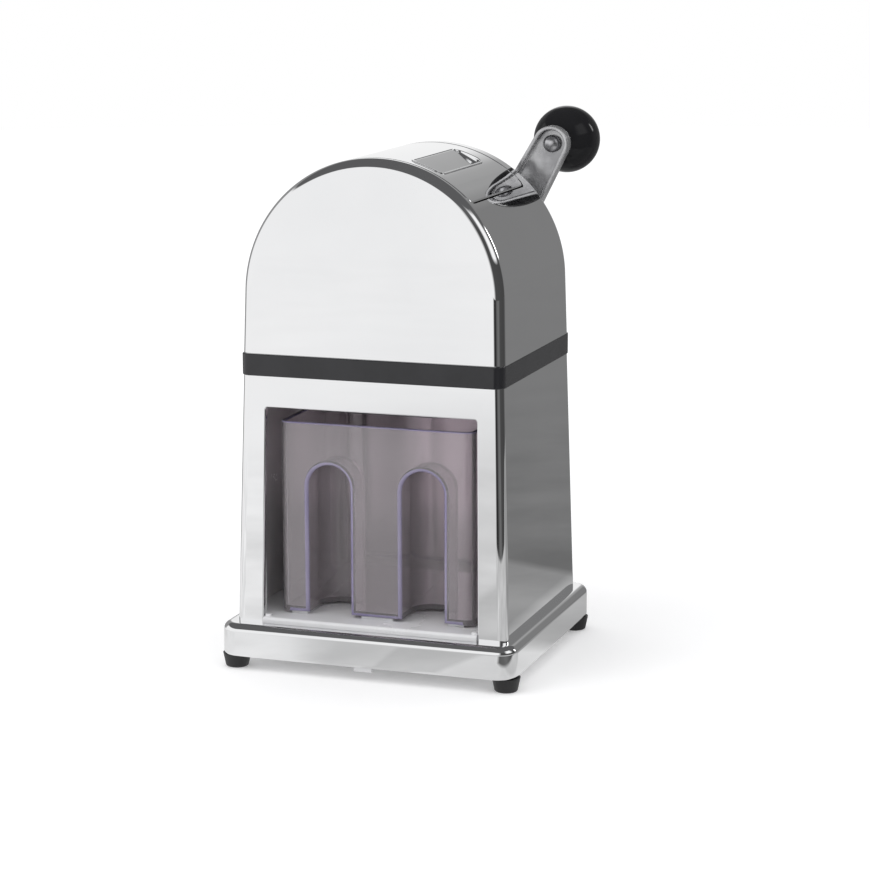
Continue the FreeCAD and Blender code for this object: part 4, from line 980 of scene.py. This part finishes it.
def room_walls(tree, part, corner):
    """How bright the studio is all round, and the angle it is read at. On the floor, the same tones
    make up its painted reflection.
    """
    away = sum_of(tree, "MULTIPLY", part["Y"], -1.0)
    angle = sum_of(tree, "ARCTAN2", part["X"], away)
    turn = fade(tree, angle, (-math.pi, math.pi))
    ramp = add(tree, "ShaderNodeValToRGB", {"Fac": turn})
    stops = *LEFT_WALLS, *corner, *REAR_WALLS
    line = ramp.color_ramp
    while len(line.elements) < len(stops):
        line.elements.new(0.5)
    for element, (degrees, value) in zip(line.elements, stops):
        element.position = (degrees + 180) / 360
        element.color = (value, value, value, 1)
    return ramp.outputs["Color"], angle


def off_from(tree, value, centre):
    """How far a value is from a centre, on either side."""
    return sum_of(tree, "ABSOLUTE", sum_of(tree, "SUBTRACT", value, centre))


def window_mask(tree, angle, height, turn, half, blur, low, high):
    """Where one window shows, with soft edges."""
    within = swing(tree, off_from(tree, angle, math.radians(turn)), (half + blur, half - blur))
    over = fade(tree, height, (low - 0.03, low + 0.03))
    under = fade(tree, height, (high + 0.03, high - 0.03))
    return sum_of(tree, "MULTIPLY", within, sum_of(tree, "MULTIPLY", over, under))


def make_world():
    """The studio round the shaver. Its walls and windows show in polished faces alone."""
    world = bpy.data.worlds.new("studio")
    bpy.context.scene.world = world
    world.use_nodes = True
    tree = world.node_tree
    look = add(tree, "ShaderNodeTexCoord").outputs["Generated"]
    part = add(tree, "ShaderNodeSeparateXYZ", {0: look}).outputs
    walls, angle = room_walls(tree, part, HIGH_CORNER)
    ceiling = fade(tree, part["Z"], CEILING, interpolation_type="SMOOTHSTEP")
    room = blend(tree, ceiling, walls, CEILING_TONE)
    for place, bright in WINDOWS:
        room = blend(tree, window_mask(tree, angle, part["Z"], *place), room,
                     (bright, bright, bright, 1))
    ray = add(tree, "ShaderNodeLightPath").outputs
    soft = blend(tree, ray["Is Glossy Ray"], SOFT_LIGHT, room)
    seen = blend(tree, ray["Is Camera Ray"], soft, WHITE)
    tree.links.new(seen, tree.nodes["Background"].inputs["Color"])


def painted_bright_sheet(tree, place, part, angle, reach):
    """Where the painted bright sheet in front of the shaver lies in the floor's reflection, and its
    tone.
    """
    side = swing(tree, angle, RIGHT_SIDE)
    hem = fade(tree, part["X"], HEM_FADE, (0.0, PAINTED_HEM_TONE))
    tone = sum_of(tree, "ADD", fade(tree, side, (0.0, 1.0), PAINTED_SHEET_TONES), hem)
    slanted = add(tree, "ShaderNodeVectorMath", {0: place, 1: SHEET_SLANT},
                  operation="DOT_PRODUCT").outputs["Value"]
    before = fade(tree, slanted, SHEET_START)
    beyond = sum_of(tree, "SUBTRACT", reach, fade(tree, side, (0.0, 1.0), SHEET_REACH))
    within = fade(tree, beyond, (0.01, -0.01))
    beside = swing(tree, off_from(tree, angle, math.radians(GAP_TURN)), GAP_SPREAD)
    past = fade(tree, off_from(tree, reach, GAP_REACH), GAP_FADE)
    out = sum_of(tree, "MAXIMUM", beside, past)
    ahead = swing(tree, angle, SHEET_LEFT_END)
    laid = sum_of(tree, "MULTIPLY", sum_of(tree, "MULTIPLY", within, before), out)
    return sum_of(tree, "MULTIPLY", laid, ahead), tone


def painted_floor_shade(tree, place, angle, reach):
    """Painted shade in the floor's reflection: random clouding that is painted deeper near the
    shaver, and painted shade in front of it.
    """
    calm = fade(tree, reach, CLOUD_REACH, CLOUD_AND_SHADE_TONES)
    cloud = fade(tree, use(tree, TONE, place, Size=9.0), (0.0, 1.0), (calm, 1.0))
    lower = sum_of(tree, "MAXIMUM", swing(tree, angle, DUSK_TURN, PAINTED_DUSK_SHADE),
                   swing(tree, angle, DAWN_TURN))
    even = fade(tree, reach, EVEN_REACH)
    fall = add(tree, "ShaderNodeMix", {0: even, 2: lower, 3: 1.0}).outputs[0]
    return sum_of(tree, "MULTIPLY", cloud, fall)


def painted_floor_reflection(tree, place):
    """The reflection painted on the floor, which polished faces alone see."""
    part = add(tree, "ShaderNodeSeparateXYZ", {0: place}).outputs
    walls, angle = room_walls(tree, part, LOW_CORNER)
    reach = add(tree, "ShaderNodeVectorMath", {0: place}, operation="LENGTH").outputs["Value"]
    laid, painted_sheet_tone = painted_bright_sheet(tree, place, part, angle, reach)
    # the painted bright sheet laid over the painted room tones
    near = blend(tree, laid, walls, painted_sheet_tone, blend_type="LIGHTEN")
    # a painted grey in the reflection behind the shaver
    rear = swing(tree, sum_of(tree, "ABSOLUTE", angle), REAR_TURN)
    evened = sum_of(tree, "MULTIPLY", rear, fade(tree, reach, REAR_REACH))
    near_rear = blend(tree, evened, near, PAINTED_REAR_SHADE)
    # painted shade and random clouding over all of it
    return blend(tree, 1.0, near_rear, painted_floor_shade(tree, place, angle, reach),
                 blend_type="MULTIPLY")


def make_floor():
    """The pale sweep. It takes the shadow, and for polished faces it glows with a painted
    reflection: a bright sheet in front, and painted shade.
    """
    bpy.ops.object.select_all(action="DESELECT")
    bpy.ops.mesh.primitive_circle_add(vertices=128, radius=3, fill_type="NGON")
    floor = settle(bpy.context.object, "studio_floor")
    material, tree, surface, place = start_material("pale_sweep", Roughness=0.9,
                                                    Specular_IOR_Level=0.0)
    tint(tree, surface, use(tree, TONE, place, Size=5.0), *FLOOR_TONES)
    # polished faces see the floor as an emission: the painted reflection, not lamplight
    glow = add(tree, "ShaderNodeEmission", {"Color": painted_floor_reflection(tree, place)})
    ray = add(tree, "ShaderNodeLightPath").outputs
    lift = add(tree, "ShaderNodeEmission", {"Color": WHITE, "Strength": FLOOR_LIFT})
    lifted = add(tree, "ShaderNodeAddShader", {0: surface.outputs[0], 1: lift.outputs[0]})
    direct = sum_of(tree, "MAXIMUM", ray["Is Camera Ray"], ray["Is Transmission Ray"])
    plain = add(tree, "ShaderNodeMixShader", {0: direct, 1: surface.outputs[0],
                                              2: lifted.outputs[0]})
    shown = add(tree, "ShaderNodeMixShader", {0: ray["Is Glossy Ray"], 1: plain.outputs[0],
                                              2: glow.outputs[0]})
    tree.links.new(shown.outputs[0], tree.nodes["Material Output"].inputs["Surface"])
    floor.data.materials.append(material)


def make_lamps():
    """One soft lamp from the upper left, which polished and clear faces don't show."""
    key = bpy.data.lights.new("key", "AREA")
    key.shape = "DISK"
    key.size = 1.4
    key.energy = 8
    lamp = bpy.data.objects.new("key", key)
    bpy.context.scene.collection.objects.link(lamp)
    lamp.location = LAMP_PLACE
    lamp.rotation_euler = (LAMP_AIM - lamp.location).to_track_quat("-Z", "Y").to_euler()
    lamp.visible_glossy = False
    lamp.visible_transmission = False


def make_camera():
    lens = bpy.data.cameras.new("camera")
    lens.lens = CAMERA_LENS
    lens.sensor_width = 36
    camera = bpy.data.objects.new("camera", lens)
    bpy.context.scene.collection.objects.link(camera)
    camera.location = CAMERA_PLACE
    camera.rotation_euler = [math.radians(turn) for turn in CAMERA_TURN]
    bpy.context.scene.camera = camera


make_camera()
make_world()
make_floor()
make_lamps()
make_upper_housing()
make_lower_housing()
make_plinth()
make_band()
make_feet()
make_lid()
make_arm()
make_rivet()
make_knob()
make_drawer()
dress_works()

bpy.context.scene.view_settings.view_transform = "Standard"
